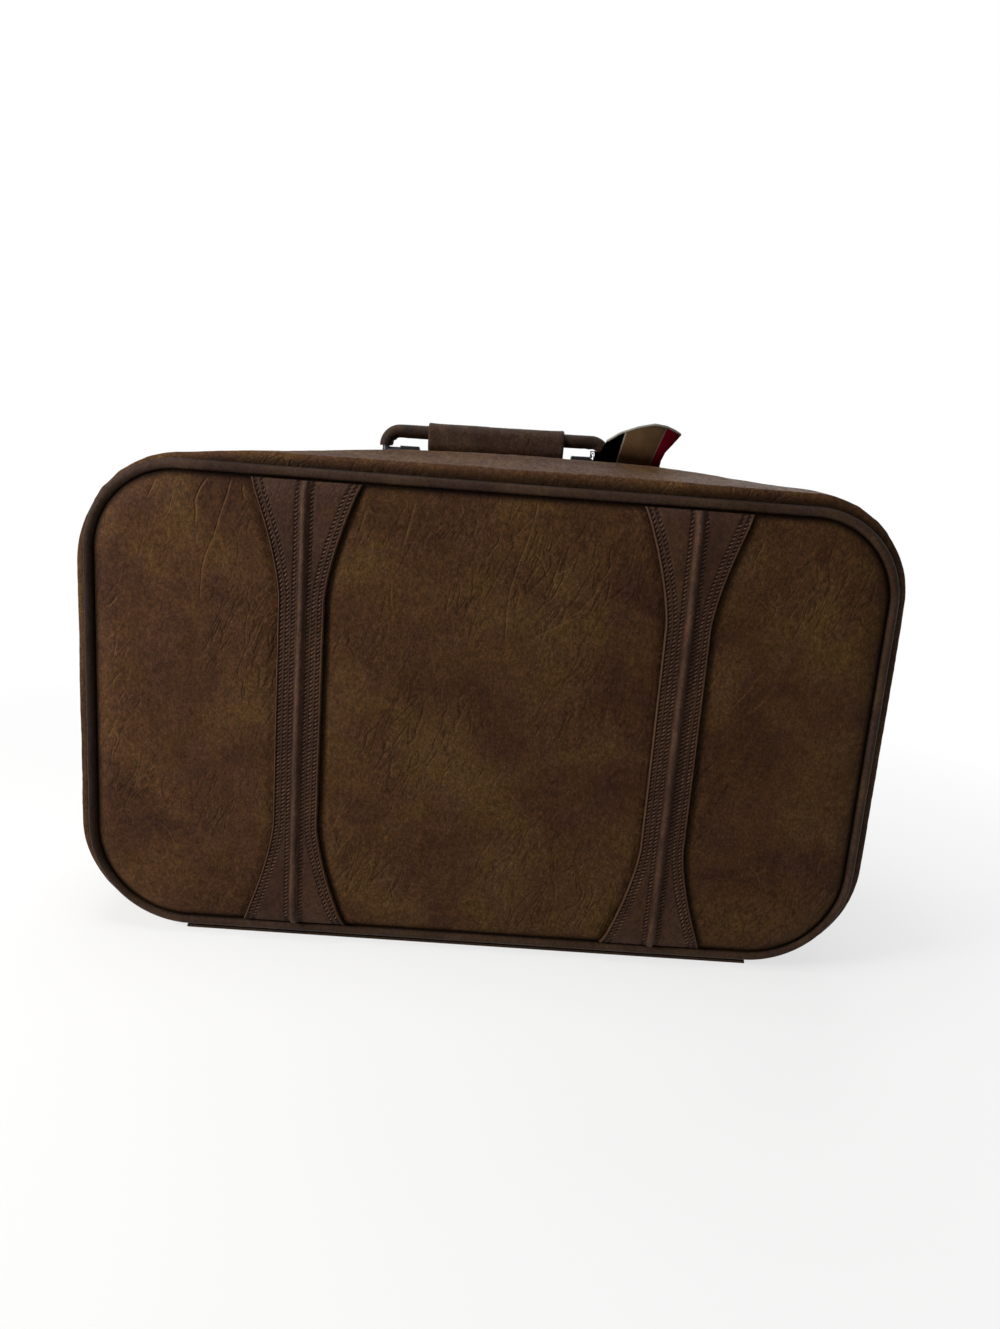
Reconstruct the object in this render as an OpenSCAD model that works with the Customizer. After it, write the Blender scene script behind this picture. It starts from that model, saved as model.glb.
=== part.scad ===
// Soft-sided zip suitcase, standing on its bottom with the handle up.
// X runs along the width, the lid faces -Y, Z is up from the floor, millimetres.

/* [Case] */
// Width between the left and right piping lines
case_w = 595; // [480:1:680]
// Height between the bottom and top piping lines
case_h = 354.5; // [300:0.5:420]
// Depth from the zip to the piping line of each half
half_depth = 84; // [70:1:110]
// Corner radius of the piping line at the top
top_r = 66; // [50:1:90]
// Corner radius of the piping line at the bottom
bottom_r = 75; // [50:1:90]
// Height of the bottom piping line above the floor
piping_rise = 10; // [8:0.5:14]

/* [Gusset] */
// Thickness of the side wall
gusset_t = 2.4; // [1.6:0.1:3.2]
// How far the side wall stands out of the piping line
side_bulge = 13; // [9:0.5:18]
// Depth over which the side wall swells out behind the piping
swell_depth = 5; // [3:0.5:12]
// Extra rise of the top at the middle of its arch
arch_rise = 11.75; // [6:0.25:20]
// Radius of the top arch
arch_r = 2790; // [2000:10:5000]
// Place of the top of the arch, right of the middle
arch_x = 45; // [-60:1:60]
// Half the width of the zip slot between the two walls
slot_half = 7; // [6.5:0.5:10]
// Thickness of the folded hem along the zip
hem_t = 5; // [4:0.1:6]
// Width of the folded hem
hem_w = 4; // [3:0.5:6]

/* [Piping] */
// Diameter of the piping bead
piping_d = 8; // [5:0.5:9]
// Width of the sewn flange of the piping
flange_w = 12; // [8:1:20]
// Thickness of the sewn flange
flange_t = 1.2; // [0.8:0.1:2]

/* [Panels] */
// Width of the dark groove between piping and panel
groove_w = 1; // [0.5:0.1:3]
// Width of the rounded panel edge
roll_w = 22; // [12:1:30]
// Height of the rounded panel edge
roll_h = 5.5; // [3:0.5:9]
// Extra padding at the middle of a panel
panel_crown = 3; // [1:0.5:6]
// Thickness of the fibre board behind a panel
board_t = 2.4; // [1.5:0.1:4]

/* [Straps] */
// Middle of the left strap
strap_left_x = -139; // [-170:1:-110]
// Middle of the right strap
strap_right_x = 145; // [110:1:170]
// Width of a strap at its waist
strap_waist = 34; // [26:1:44]
// Width of a strap at its top and bottom
strap_end_w = 80; // [60:1:100]
// Length of the flare at each end of a strap
strap_flare = 86; // [60:1:110]
// Thickness of a strap
strap_t = 2.2; // [1.4:0.1:3]
// Width of the cord bead along a strap
bead_w = 6; // [4:0.5:8]
// Height of the cord bead
bead_h = 2.6; // [1.5:0.1:4]

/* [Frame] */
// Thickness of the steel rim band
band_t = 1.6; // [1:0.1:2]
// Distance of the rim band from the zip
band_y = 14; // [13.5:0.5:20]
// Width of the rim band
band_w = 24; // [22:1:34]

/* [Zip] */
// Distance from one tooth to the next on the same tape
tooth_pitch = 5; // [4:0.5:8]
// Length of a tooth along the zip
tooth_l = 1.9; // [1.4:0.1:2.2]
// Height of a tooth
tooth_h = 2.8; // [2:0.1:3.2]
// Reach of a tooth across the tape
tooth_w = 4.4; // [3.5:0.1:5]
// Half the gap between the two rows of teeth
tooth_gap = 0.8; // [0.7:0.05:1.2]
// Thickness of the zip tape
tape_t = 0.8; // [0.5:0.1:1]
// Width of each zip tape
tape_w = 7.4; // [6:0.1:7.4]
// Length of a slider
slider_l = 13; // [11:0.5:16]
// Thickness of a slider plate
slider_t = 1; // [0.8:0.1:1.4]
// Travel of a slider along the top
slider_travel = 110; // [60:5:120]
// Length of a pull tab
pull_l = 30; // [22:1:40]

/* [Handle] */
// Distance between the two handle legs
handle_span = 183.7; // [150:0.1:220]
// Place of the handle's middle, left of the case's middle
handle_x = -6.1; // [-20:0.1:20]
// Distance of the handle from the zip
handle_y = 25; // [24:0.5:32]
// Height of the handle rod above its pins
handle_rise = 15.5; // [15:0.5:30]
// Bend radius of the handle rod
handle_bend_r = 12; // [10:0.5:12]
// Diameter of the covered rod
cover_d = 11.3; // [9:0.1:13]
// Diameter of the steel rod inside
core_d = 6; // [5:0.5:7]
// Diameter of the handle pins
pin_d = 5; // [4:0.1:5.5]
// Length of each handle pin from the leg's middle
pin_l = 28.5; // [26:0.5:36]
// Length of the grip sleeve
grip_l = 113; // [90:1:125]
// Width of the grip sleeve across the handle
grip_w = 16; // [14:0.5:20]
// Height of the grip sleeve
grip_h = 23; // [18:0.5:23]

/* [Brackets] */
// Width of a handle bracket along the pin
bracket_w = 16; // [12:1:17]
// Length of a bracket foot
bracket_l = 25; // [22:0.5:25]
// Thickness of a bracket foot
foot_t = 1.6; // [1.2:0.1:2]
// Wall over the pin
saddle_t = 1.2; // [1:0.1:2]
// Diameter of a rivet shank
rivet_d = 3.6; // [3:0.1:4]

/* [Inside] */
// Width of a packing strap
tie_w = 25; // [20:1:30]
// Thickness of a packing strap
tie_t = 1.6; // [1:0.1:2]
// Width of the packing straps' clasp
clasp_w = 38; // [34:1:44]
// Height of the packing straps' clasp
clasp_h = 34; // [32:1:40]
// Depth of the gathered pocket's cloth
pocket_t = 2.4; // [1.6:0.1:3]
// Distance of the pocket's edge in from the outline
pocket_in = 16; // [15:0.5:20]
// Height of the pocket's elastic band
band_h = 14; // [10:1:18]

/* [Tag] */
// Distance of the tag ring inside the right handle leg
ring_in = 10.35; // [10:0.05:10.5]
// Length of the luggage tag from its eye to its tip
tag_l = 71.4; // [66:0.1:71.4]
// Radius inside the tag ring
ring_r = 4.4; // [4.3:0.1:4.7]
// Wire diameter of the tag ring
ring_wire = 1.6; // [1.2:0.1:1.6]
// Thickness of the luggage tag
tag_t = 1.2; // [0.8:0.1:1.2]
// Radius that the tag is curled to
tag_curl_r = 58; // [55:1:64]

/* [Hidden] */
$fn = 64;
clear = 0.3;
fit_gap = 0.05;

piping_r = piping_d / 2;
edge_y = half_depth - piping_r - clear;
zc = piping_rise + case_h / 2;
top_line = piping_rise + case_h;
base_t = 2;
bottom_bulge = piping_rise - base_t - 0.1;

// Depths of the flat layers behind each face
flange_back = half_depth - flange_t / 2;
flange_front = half_depth + flange_t / 2;
board_y = flange_back - 0.1 - board_t;
panel_y = flange_front + 0.2;
panel_edge_y = panel_y + 1.2;
groove_in = piping_r + groove_w;
bead_in = piping_r + clear;
panel_half_w = case_w / 2 - groove_in;
panel_half_h = case_h / 2 - groove_in;

// The zip chain lies this far under the crown of the wall
tape_in = hem_t + 0.1;
chain_in = tape_in + tape_t / 2;
tooth_back = tooth_gap + tooth_w;
tape_y = tooth_back + 0.1;
lining_t = 1;
lining_edge_y = tape_y + tape_w + 0.2;
lining_floor_y = board_y - 0.6;

// The rim band is flat across its width, so the lining lies under its lowest line
band_in = gusset_t + 0.7;
band_under = band_in + band_t;

// The lid and the body stand evenly about Y = 0
front_reach = panel_edge_y + roll_h + panel_crown + strap_t + bead_h;
back_reach = panel_edge_y + roll_h + panel_crown;
zip_y = (front_reach - back_reach) / 2;

corner_steps = 7;
top_steps = 14;
side_steps = 3;
bottom_steps = 4;

// Points of the piping line, each as x, z and its outward direction
function arc(cx, cz, r, a0) = [for (i = [0:corner_steps]) let (a = a0 + 90 * i / corner_steps)
    [cx + r * cos(a), cz + r * sin(a), cos(a), sin(a)]];
function line(x0, z0, x1, z1, nx, nz, n) = [for (i = [1:n - 1])
    [x0 + (x1 - x0) * i / n, z0 + (z1 - z0) * i / n, nx, nz]];
half_w = case_w / 2;
outline = concat(
    arc(half_w - bottom_r, piping_rise + bottom_r, bottom_r, -90),
    line(half_w, piping_rise + bottom_r, half_w, top_line - top_r, 1, 0, side_steps),
    arc(half_w - top_r, top_line - top_r, top_r, 0),
    line(half_w - top_r, top_line, top_r - half_w, top_line, 0, 1, top_steps),
    arc(top_r - half_w, top_line - top_r, top_r, 90),
    line(-half_w, top_line - top_r, -half_w, piping_rise + bottom_r, -1, 0, side_steps),
    arc(bottom_r - half_w, piping_rise + bottom_r, bottom_r, 180),
    line(bottom_r - half_w, piping_rise, half_w - bottom_r, piping_rise, 0, -1, bottom_steps));
n_out = len(outline);

// The wall swells out quickly behind the piping and the top arches slowly to the zip
function swell(y) = let (t = min(1, max(0, (edge_y - y) / swell_depth))) sqrt(1 - (1 - t) * (1 - t));
function arch(y) = cos(90 * min(1, y / edge_y));
lining_in = band_under + arch_rise * (arch(band_y) - arch(band_y + band_w)) + 1.2;
hem_y = slot_half + hem_w;
chain_arch = arch(hem_y);
function arch_at(x) = arch_rise - (x - arch_x) * (x - arch_x) / (2 * arch_r);
function bulge(q, s, a) = let (up = max(q[3], 0), down = max(-q[3], 0))
    s * (side_bulge * (q[2] * q[2] + up * up) + bottom_bulge * down * down) + a * up * up * arch_at(q[0]);
function top_z(x, y) = top_line + side_bulge * swell(y) + arch(y) * arch_at(x);
function top_slope(y) = atan(arch_rise * sin(90 * y / edge_y) * (PI / 2 / edge_y));

function ring(y, s, a, inset) = [for (q = outline) let (d = bulge(q, s, a) - inset)
    [q[0] + q[2] * d, y, q[1] + q[3] * d]];
function wall_ring(y, inset) = ring(y, swell(y), arch(y), inset);

// Joins rings of equal length into a skin, one pair of triangles a step
function skin(rings, n) = [for (k = [0:rings - 2]) for (i = [0:n - 1]) let (j = (i + 1) % n, b = k * n, t = (k + 1) * n)
    each [[b + i, t + i, t + j], [b + i, t + j, b + j]]];
function wrap(rings, n) = [for (i = [0:n - 1]) let (j = (i + 1) % n, b = (rings - 1) * n)
    each [[b + i, i, j], [b + i, j, b + j]]];
function fan(start, n, tip, flip) = [for (i = [0:n - 1]) let (a = start + i, b = start + (i + 1) % n)
    flip ? [a, tip, b] : [b, tip, a]];
function flat(lists) = [for (l = lists) each l];
function centre(points) = [for (k = [0:2]) [for (p = points) p[k]] * [for (p = points) 1] / len(points)];

module closed_loft(rings) {
    n = len(rings[0]);
    polyhedron(flat(rings), concat(skin(len(rings), n), wrap(len(rings), n)), convexity = 6);
}

module capped_loft(rings) {
    n = len(rings[0]);
    m = len(rings);
    tips = [centre(rings[0]), centre(rings[m - 1])];
    polyhedron(concat(flat(rings), tips),
        concat(skin(m, n), fan(0, n, m * n, false), fan((m - 1) * n, n, m * n + 1, true)), convexity = 6);
}

// Stands a child of the body half, and mirrors a child of the lid half
module body_side() { translate([0, zip_y, 0]) children(); }
module lid_side() { translate([0, zip_y, 0]) mirror([0, 1, 0]) children(); }

// Outline of the wall beside the zip, used by the flat tapes
module wall_2d(inset) {
    polygon([for (q = outline) let (d = bulge(q, 1, chain_arch) - inset) [q[0] + q[2] * d, q[1] + q[3] * d]]);
}
module slab(y0, y1) { translate([0, y1, 0]) rotate([90, 0, 0]) linear_extrude(y1 - y0) children(); }

// Rounded rectangle with true arcs, inset from the piping line
module face_2d(inset) {
    rt = top_r - inset;
    rb = bottom_r - inset;
    w = case_w / 2 - inset;
    lo = piping_rise + inset;
    hi = top_line - inset;
    for (s = [-1, 1]) {
        translate([s * (w - rt), hi - rt]) circle(rt);
        translate([s * (w - rb), lo + rb]) circle(rb);
    }
    translate([rt - w, hi - 2 * rt]) square([2 * (w - rt), 2 * rt]);
    translate([rb - w, lo]) square([2 * (w - rb), 2 * rb]);
    translate([-w, lo + rb]) square([2 * w, hi - lo - rt - rb]);
}

// Side walls

module gusset() {
    edge_levels = [for (t = [0.1, 0.3, 0.6, 1]) edge_y - t * swell_depth];
    levels = concat([edge_y], edge_levels, [for (t = [0.8, 0.55, 0.3]) hem_y + t * (edge_y - hem_y)],
        [hem_y + 0.5, hem_y, slot_half]);
    m = len(levels);
    outer = [for (y = levels) wall_ring(y, 0)];
    inner = [for (k = [m - 1:-1:0]) let (y = levels[k], s = swell(y), t = k >= m - 2 ? hem_t : gusset_t)
        ring(k == 0 ? y : y - 1.8 * (1 - s), s, arch(y), t)];
    closed_loft(concat(outer, inner));
}

module body_gusset() {
    color("#4a3524") difference() {
        body_side() gusset();
        rivet_holes();
    }
}
module lid_gusset() { color("#4a3524") lid_side() gusset(); }

// Base strips under each half and the hinge strip between them

hinge_half = 9.5;
axis_z = -0.3;
base_x = case_w / 2 - bottom_r + 4;
module base_strip() {
    y0 = hinge_half + clear;
    translate([-base_x, y0, 0]) cube([2 * base_x, edge_y - y0, base_t]);
}
module body_base_strip() { color("#3f2c1e") body_side() base_strip(); }
module lid_base_strip() { color("#3f2c1e") lid_side() base_strip(); }
module hinge_strip() {
    color("#33241a") translate([-base_x, zip_y - hinge_half, 0.5]) cube([2 * base_x, 2 * hinge_half, 1.2]);
}

// Piping bead with its sewn flange, swept round the panel

module piping_profile() {
    circle(piping_r, $fn = 32);
    translate([-flange_w, -flange_t / 2]) square([flange_w, flange_t]);
}
module piping_run(length) {
    rotate([90, 0, 0]) linear_extrude(length) piping_profile();
}
module piping_corner(r) {
    rotate_extrude(angle = 90, $fn = 96) translate([r, 0]) piping_profile();
}
module piping() {
    translate([0, half_depth, zc]) rotate([90, 0, 0]) union() {
        w = case_w / 2;
        h = case_h / 2;
        translate([w - top_r, h - top_r, 0]) piping_corner(top_r);
        translate([top_r - w, h - top_r, 0]) rotate(90) piping_corner(top_r);
        translate([bottom_r - w, bottom_r - h, 0]) rotate(180) piping_corner(bottom_r);
        translate([w - bottom_r, bottom_r - h, 0]) rotate(270) piping_corner(bottom_r);
        translate([w, h - top_r, 0]) piping_run(case_h - top_r - bottom_r);
        translate([-w, bottom_r - h, 0]) rotate(180) piping_run(case_h - top_r - bottom_r);
        translate([top_r - w, h, 0]) rotate(90) piping_run(case_w - 2 * top_r);
        translate([w - bottom_r, -h, 0]) rotate(270) piping_run(case_w - 2 * bottom_r);
    }
}
module back_piping() { color("#3a2619") body_side() piping(); }
module front_piping() { color("#3a2619") lid_side() piping(); }

// Fibre boards that stiffen the faces
module board() { slab(board_y, board_y + board_t) face_2d(bead_in); }
module back_board() { color("#8a6f4d") body_side() board(); }
module front_board() { color("#8a6f4d") lid_side() board(); }

// Padded face panels

function roll(e) = roll_h * (1 - pow(1 - min(1, max(0, e / roll_w)), 3));
function crown(x, z) = panel_crown * (1 - pow(x / panel_half_w, 2)) * (1 - pow((z - zc) / panel_half_h, 2));
function face_y(x, z, e) = panel_edge_y + roll(e) + max(0, crown(x, z));
function face_ring(e) = [for (q = outline) let (x = q[0] - q[2] * (groove_in + e), z = q[1] - q[3] * (groove_in + e))
    [x, face_y(x, z, e), z]];
function inner_ring(s) = [for (p = face_ring(roll_w)) let (x = p[0] * s, z = zc + (p[2] - zc) * s)
    [x, face_y(x, z, roll_w), z]];
module panel() {
    back = [for (q = outline) [q[0] - q[2] * (groove_in + 1), panel_y, q[1] - q[3] * (groove_in + 1)]];
    rings = concat([back], [for (t = [0, 0.04, 0.12, 0.25, 0.5, 1]) face_ring(t * roll_w)],
        [for (s = [0.66, 0.33]) inner_ring(s)]);
    capped_loft(rings);
}
module back_panel() { color("#5a4026") body_side() panel(); }
module front_panel() { color("#5a4026") lid_side() panel(); }

// Shaped straps sewn over the front panel, with a cord bead down the middle

strap_lo = zc - panel_half_h + 0.4;
strap_hi = zc + panel_half_h - 0.4;
function flare(z) = let (d = min(z - strap_lo, strap_hi - z), t = max(0, 1 - d / strap_flare)) pow(t, 1.5);
function strap_half(z) = strap_waist / 2 + (strap_end_w - strap_waist) / 2 * flare(z);
function edge_in(z) = min(z - zc + panel_half_h, zc + panel_half_h - z);
strap_steps = [0, 2, 5, 9, 15, 22, 34, 48, 64, 82, 110, 140];
strap_rows = concat([for (d = strap_steps) strap_lo + d], [for (k = [len(strap_steps) - 1:-1:0]) strap_hi - strap_steps[k]]);
function strap_row(x0, z, half, t, c) = let (e = edge_in(z))
    [for (p = [[-half, 0], [-half + c, t], [0, t], [half - c, t], [half, 0], [0, 0]])
        [x0 + p[0], face_y(x0 + p[0], z, e) + clear + p[1], z]];
module strap(x0) {
    capped_loft([for (z = strap_rows) strap_row(x0, z, strap_half(z), strap_t - clear, 0.8)]);
}
module bead(x0) {
    capped_loft([for (z = strap_rows) let (y0 = face_y(x0, z, edge_in(z)) + strap_t + 0.1)
        [for (a = [180:-30:0]) [x0 + bead_w / 2 * cos(a), y0 + (bead_h - 0.1) * sin(a), z]]]);
}
module left_strap() { color("#46301f") lid_side() strap(strap_left_x); }
module right_strap() { color("#46301f") lid_side() strap(strap_right_x); }
module left_strap_bead() { color("#3d2a1b") lid_side() bead(strap_left_x); }
module right_strap_bead() { color("#3d2a1b") lid_side() bead(strap_right_x); }

// Steel bands that keep the rims in shape

function low_bulge(q) = min(bulge(q, 1, arch(band_y)), bulge(q, 1, arch(band_y + band_w)));
module band_2d(inset) {
    polygon([for (q = outline) let (d = low_bulge(q) - inset) [q[0] + q[2] * d, q[1] + q[3] * d]]);
}
module band() {
    slab(band_y, band_y + band_w) difference() {
        band_2d(band_in);
        band_2d(band_under);
    }
}
module body_frame() {
    color("#7d8086") difference() {
        body_side() band();
        rivet_holes();
    }
}
module lid_frame() { color("#7d8086") lid_side() band(); }

// Cloth linings shaped as trays

module lining() {
    depths = [for (t = [0, 0.25, 0.5, 0.75]) lining_edge_y + t * (edge_y - swell_depth - lining_edge_y)];
    lip = edge_y - swell_depth;
    rim = [for (y = depths) wall_ring(y, lining_in)];
    rim_in = [for (k = [len(depths) - 1:-1:0]) wall_ring(depths[k], lining_in + lining_t)];
    outer = concat([ring(lining_floor_y, 0, 0, bead_in)], [wall_ring(lip, lining_in)],
        [for (k = [len(rim) - 1:-1:0]) rim[k]]);
    inner = concat([for (k = [len(rim_in) - 1:-1:0]) rim_in[k]], [wall_ring(lip, lining_in + lining_t)],
        [ring(lining_floor_y - lining_t, 0, 0, bead_in + lining_t)]);
    capped_loft(concat(outer, inner));
}
module body_lining() { color("#b8a98c") body_side() lining(); }
module lid_lining() { color("#b8a98c") lid_side() lining(); }

// Packing straps with their clasp in the body, and the gathered pocket in the lid

tie_y = lining_floor_y - lining_t - clear - tie_t;
tie_reach = case_w / 2 - 14;
clasp_slot_w = 6;
clasp_slot_x = clasp_w / 2 - clasp_slot_w / 2 - 5;
module tie_strap() {
    translate([clasp_w / 2 + clear, tie_y, zc - tie_w / 2]) cube([tie_reach - clasp_w / 2, tie_t, tie_w]);
}
module tie_strap_right() { color("#2c2622") body_side() tie_strap(); }
module tie_strap_left() { color("#2c2622") body_side() mirror([1, 0, 0]) tie_strap(); }
module tie_clasp() {
    color("#9a9da2") body_side() translate([0, 0, zc]) slab(tie_y - 2, tie_y + tie_t) difference() {
        square([clasp_w, clasp_h], center = true);
        for (s = [-1, 1]) translate([s * clasp_slot_x, 0]) square([clasp_slot_w, tie_w], center = true);
    }
}
pocket_top = 0.62;
pocket_y = lining_floor_y - lining_t - clear - pocket_t;
module pocket_2d(z0, z1) {
    intersection() {
        face_2d(pocket_in);
        translate([-case_w / 2, z0]) square([case_w, z1 - z0]);
    }
}
pocket_z = piping_rise + pocket_top * case_h;
module lid_pocket() {
    color("#a3947a") lid_side() slab(pocket_y, pocket_y + pocket_t) pocket_2d(piping_rise, pocket_z);
}
module lid_pocket_elastic() {
    color("#94866d") lid_side() slab(pocket_y - 1, pocket_y + pocket_t)
        pocket_2d(pocket_z + clear, pocket_z + clear + band_h);
}

// Zip tapes and teeth, which run up the right side, over the top and down the left

zip_start = ceil(corner_steps / 2);
zip_end = n_out - bottom_steps - ceil(corner_steps / 2);
function chain_point(q, inset) = let (d = bulge(q, 1, chain_arch) - inset) [q[0] + q[2] * d, q[1] + q[3] * d];
chain = [for (i = [zip_start:zip_end]) chain_point(outline[i], chain_in)];
steps = [for (i = [0:len(chain) - 2]) norm(chain[i + 1] - chain[i])];
function add_up(v, i = 0, s = 0) = i == len(v) ? [s] : concat([s], add_up(v, i + 1, s + v[i]));
marks = add_up(steps);
chain_l = marks[len(marks) - 1];
function span_at(s) = len([for (m = marks) if (m <= s) m]) - 1;
function chain_at(s) = let (k = min(span_at(s), len(steps) - 1), t = (s - marks[k]) / steps[k])
    [chain[k] + t * (chain[k + 1] - chain[k]), chain[k + 1] - chain[k]];
tooth_count = floor((chain_l - 2 * tooth_pitch) / tooth_pitch);

module tape() {
    slab(tape_y, tape_y + tape_w) difference() {
        wall_2d(tape_in);
        wall_2d(tape_in + tape_t);
        translate([-base_x - 1, 0]) square([2 * base_x + 2, piping_rise + bottom_r / 4]);
    }
}
module teeth(offset) {
    for (i = [0:tooth_count - 1]) {
        at = chain_at((i + 1 + offset) * tooth_pitch);
        translate([at[0][0], tooth_gap, at[0][1]]) rotate([0, -atan2(at[1][1], at[1][0]), 0])
            translate([-tooth_l / 2, 0, -tooth_h / 2]) cube([tooth_l, tooth_w, tooth_h]);
    }
}
module body_zip_tape() { color("#2e2119") body_side() tape(); }
module lid_zip_tape() { color("#2e2119") lid_side() tape(); }
module body_zip_teeth() { color("#a88c4e") body_side() teeth(0); }
module lid_zip_teeth() { color("#a88c4e") lid_side() teeth(0.5); }

// Sliders, each lying along the chord of its own travel

slider_w = 2 * (tape_y + 1.1);
channel = tooth_h + 1.4;
lip_h = (channel - tape_t) / 2 - 0.8;
slider_gap = 1;
bail_d = 1.6;
bail_h = 1.8;
function slider_x(side, travel) = handle_x + side * (slider_gap / 2 + slider_l / 2 + travel);
function chain_z(x) = top_line + side_bulge + chain_arch * arch_at(x) - chain_in;
function chord_tilt(side) = atan((chain_z(slider_x(side, slider_travel)) - chain_z(slider_x(side, 0))) / slider_travel);
module on_chain(side) {
    x = slider_x(side, 0);
    translate([x, zip_y, chain_z(x) + 0.15]) mirror([side < 0 ? 1 : 0, 0, 0]) rotate([0, -chord_tilt(side), 0]) children();
}
module slider_solid() {
    difference() {
        translate([-slider_l / 2, -slider_w / 2, -channel / 2 - slider_t])
            cube([slider_l, slider_w, channel + 2 * slider_t]);
        translate([-slider_l, -tooth_back - 0.2, -channel / 2]) cube([2 * slider_l, 2 * tooth_back + 0.4, channel]);
        translate([-slider_l, tooth_back, -channel / 2 + lip_h]) cube([2 * slider_l, slider_w, channel - 2 * lip_h]);
        translate([-slider_l, -slider_w, -channel / 2]) cube([2 * slider_l, slider_w, channel]);
    }
    translate([-slider_l / 2, -tooth_gap + clear, -channel / 2 - 0.1])
        cube([4, 2 * (tooth_gap - clear), channel + 0.2]);
    for (y = [-3.6, 2.4]) translate([-1.2, y, channel / 2 + slider_t - 0.1])
        cube([2.4, 1.2, bail_h + bail_d / 2 + 0.5]);
    translate([0, -3, channel / 2 + slider_t + bail_h]) rotate([-90, 0, 0]) cylinder(d = bail_d, h = 6, $fn = 24);
}
module pull_solid() {
    translate([0, 0, channel / 2 + slider_t + bail_h]) difference() {
        union() {
            rotate([-90, 0, 0]) translate([0, 0, -2.2]) cylinder(d = bail_d + 1.3, h = 4.4, $fn = 32);
            translate([0.6, -2.2, -0.7]) cube([6, 4.4, 1.4]);
            translate([5, -4, -0.7]) cube([pull_l - 9, 8, 1.4]);
            translate([pull_l - 4, 0, -0.7]) cylinder(d = 8, h = 1.4);
        }
        rotate([-90, 0, 0]) translate([0, 0, -5]) cylinder(d = bail_d + 2 * fit_gap, h = 10, $fn = 24);
        translate([pull_l - 4, 0, -2]) cylinder(d = 3.4, h = 4);
    }
}
module slider_left() { color("#b09455") on_chain(-1) slider_solid(); }
module slider_right() { color("#b09455") on_chain(1) slider_solid(); }
module pull_left() { color("#b09455") on_chain(-1) pull_solid(); }
module pull_right() { color("#b09455") on_chain(1) pull_solid(); }

// Handle, built about the middle of its pin line and tilted with the arch

seat_gap = 0.25;
pin_h = foot_t + pin_d / 2 + 0.3;
left_leg_x = handle_x - handle_span / 2;
right_leg_x = handle_x + handle_span / 2;
bracket_out = 12;
left_bracket_x = left_leg_x + bracket_out + bracket_w / 2;
right_bracket_x = right_leg_x - bracket_out - bracket_w / 2;
function pin_z(x) = top_z(x, handle_y) + seat_gap + pin_h;
handle_tilt = atan((pin_z(right_bracket_x) - pin_z(left_bracket_x)) / (right_bracket_x - left_bracket_x));
pin_mid_z = (pin_z(right_bracket_x) + pin_z(left_bracket_x)) / 2;
knuckle_r = core_d / 2 + 0.2;
cover_start = pin_d / 2 + 0.9;
module on_pins() {
    translate([handle_x, zip_y + handle_y, pin_mid_z]) rotate([0, -handle_tilt, 0]) children();
}
module rod(drop) {
    leg = handle_span / 2;
    for (s = [-1, 1]) {
        translate([s * (leg - handle_bend_r), 0, handle_rise - handle_bend_r]) rotate([90, 0, 0])
            rotate(s > 0 ? 0 : 90) rotate_extrude(angle = 90, $fn = 96) translate([handle_bend_r, 0]) children();
        translate([s * leg, 0, drop]) linear_extrude(handle_rise - handle_bend_r - drop) children();
    }
    translate([handle_bend_r - leg, 0, handle_rise]) rotate([0, 90, 0])
        linear_extrude(handle_span - 2 * handle_bend_r) children();
}
module handle_rod() {
    color("#8d9096") on_pins() {
        rod(0) circle(d = core_d, $fn = 32);
        for (s = [-1, 1]) translate([s * handle_span / 2, 0, 0]) {
            sphere(knuckle_r, $fn = 48);
            rotate([0, -90 * s, 0]) cylinder(d = pin_d, h = pin_l, $fn = 48);
        }
    }
}

module handle_cover() {
    color("#3f2a1d") on_pins() rod(cover_start) difference() {
        circle(d = cover_d, $fn = 32);
        circle(d = core_d + 2 * fit_gap, $fn = 32);
    }
}
module stadium(w, h) {
    for (z = [w / 2, h - w / 2]) translate([0, z]) circle(d = w);
    translate([-w / 2, w / 2]) square([w, h - w]);
}
grip_top = grip_w / 2;
module handle_grip() {
    color("#5a4130") on_pins() translate([0, 0, handle_rise]) rotate([90, 0, 90]) difference() {
        translate([0, 0, -grip_l / 2]) linear_extrude(grip_l) translate([0, grip_top - grip_h]) stadium(grip_w, grip_h);
        translate([0, 0, -grip_l]) cylinder(d = cover_d + 2 * fit_gap, h = 2 * grip_l);
    }
}

// Brackets that hold the pins, riveted through the wall and the rim band

saddle_r = pin_d / 2 + fit_gap + saddle_t;
rivet_y = bracket_l / 2 - 4.3;
head_d = 5.6;
head_h = 1.2;
tail_h = 0.8;
function pin_line_z(x) = pin_mid_z + (x - handle_x) * tan(handle_tilt);
module on_bracket(x) {
    translate([x, zip_y + handle_y, pin_line_z(x)]) rotate([0, -handle_tilt, 0])
        rotate([-top_slope(handle_y), 0, 0]) children();
}
module bracket(x) {
    on_bracket(x) difference() {
        rotate([90, 0, 90]) linear_extrude(bracket_w, center = true) difference() {
            union() {
                circle(saddle_r, $fn = 48);
                translate([-saddle_r, -pin_h]) square([2 * saddle_r, pin_h]);
                translate([-bracket_l / 2, -pin_h]) square([bracket_l, foot_t]);
            }
            circle(pin_d / 2 + fit_gap, $fn = 48);
        }
        for (s = [-1, 1]) translate([0, s * rivet_y, -pin_h - 1]) cylinder(d = rivet_d + 2 * fit_gap, h = foot_t + 2, $fn = 32);
    }
}
module left_handle_bracket() { color("#5d5f63") bracket(left_bracket_x); }
module right_handle_bracket() { color("#5d5f63") bracket(right_bracket_x); }

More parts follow.
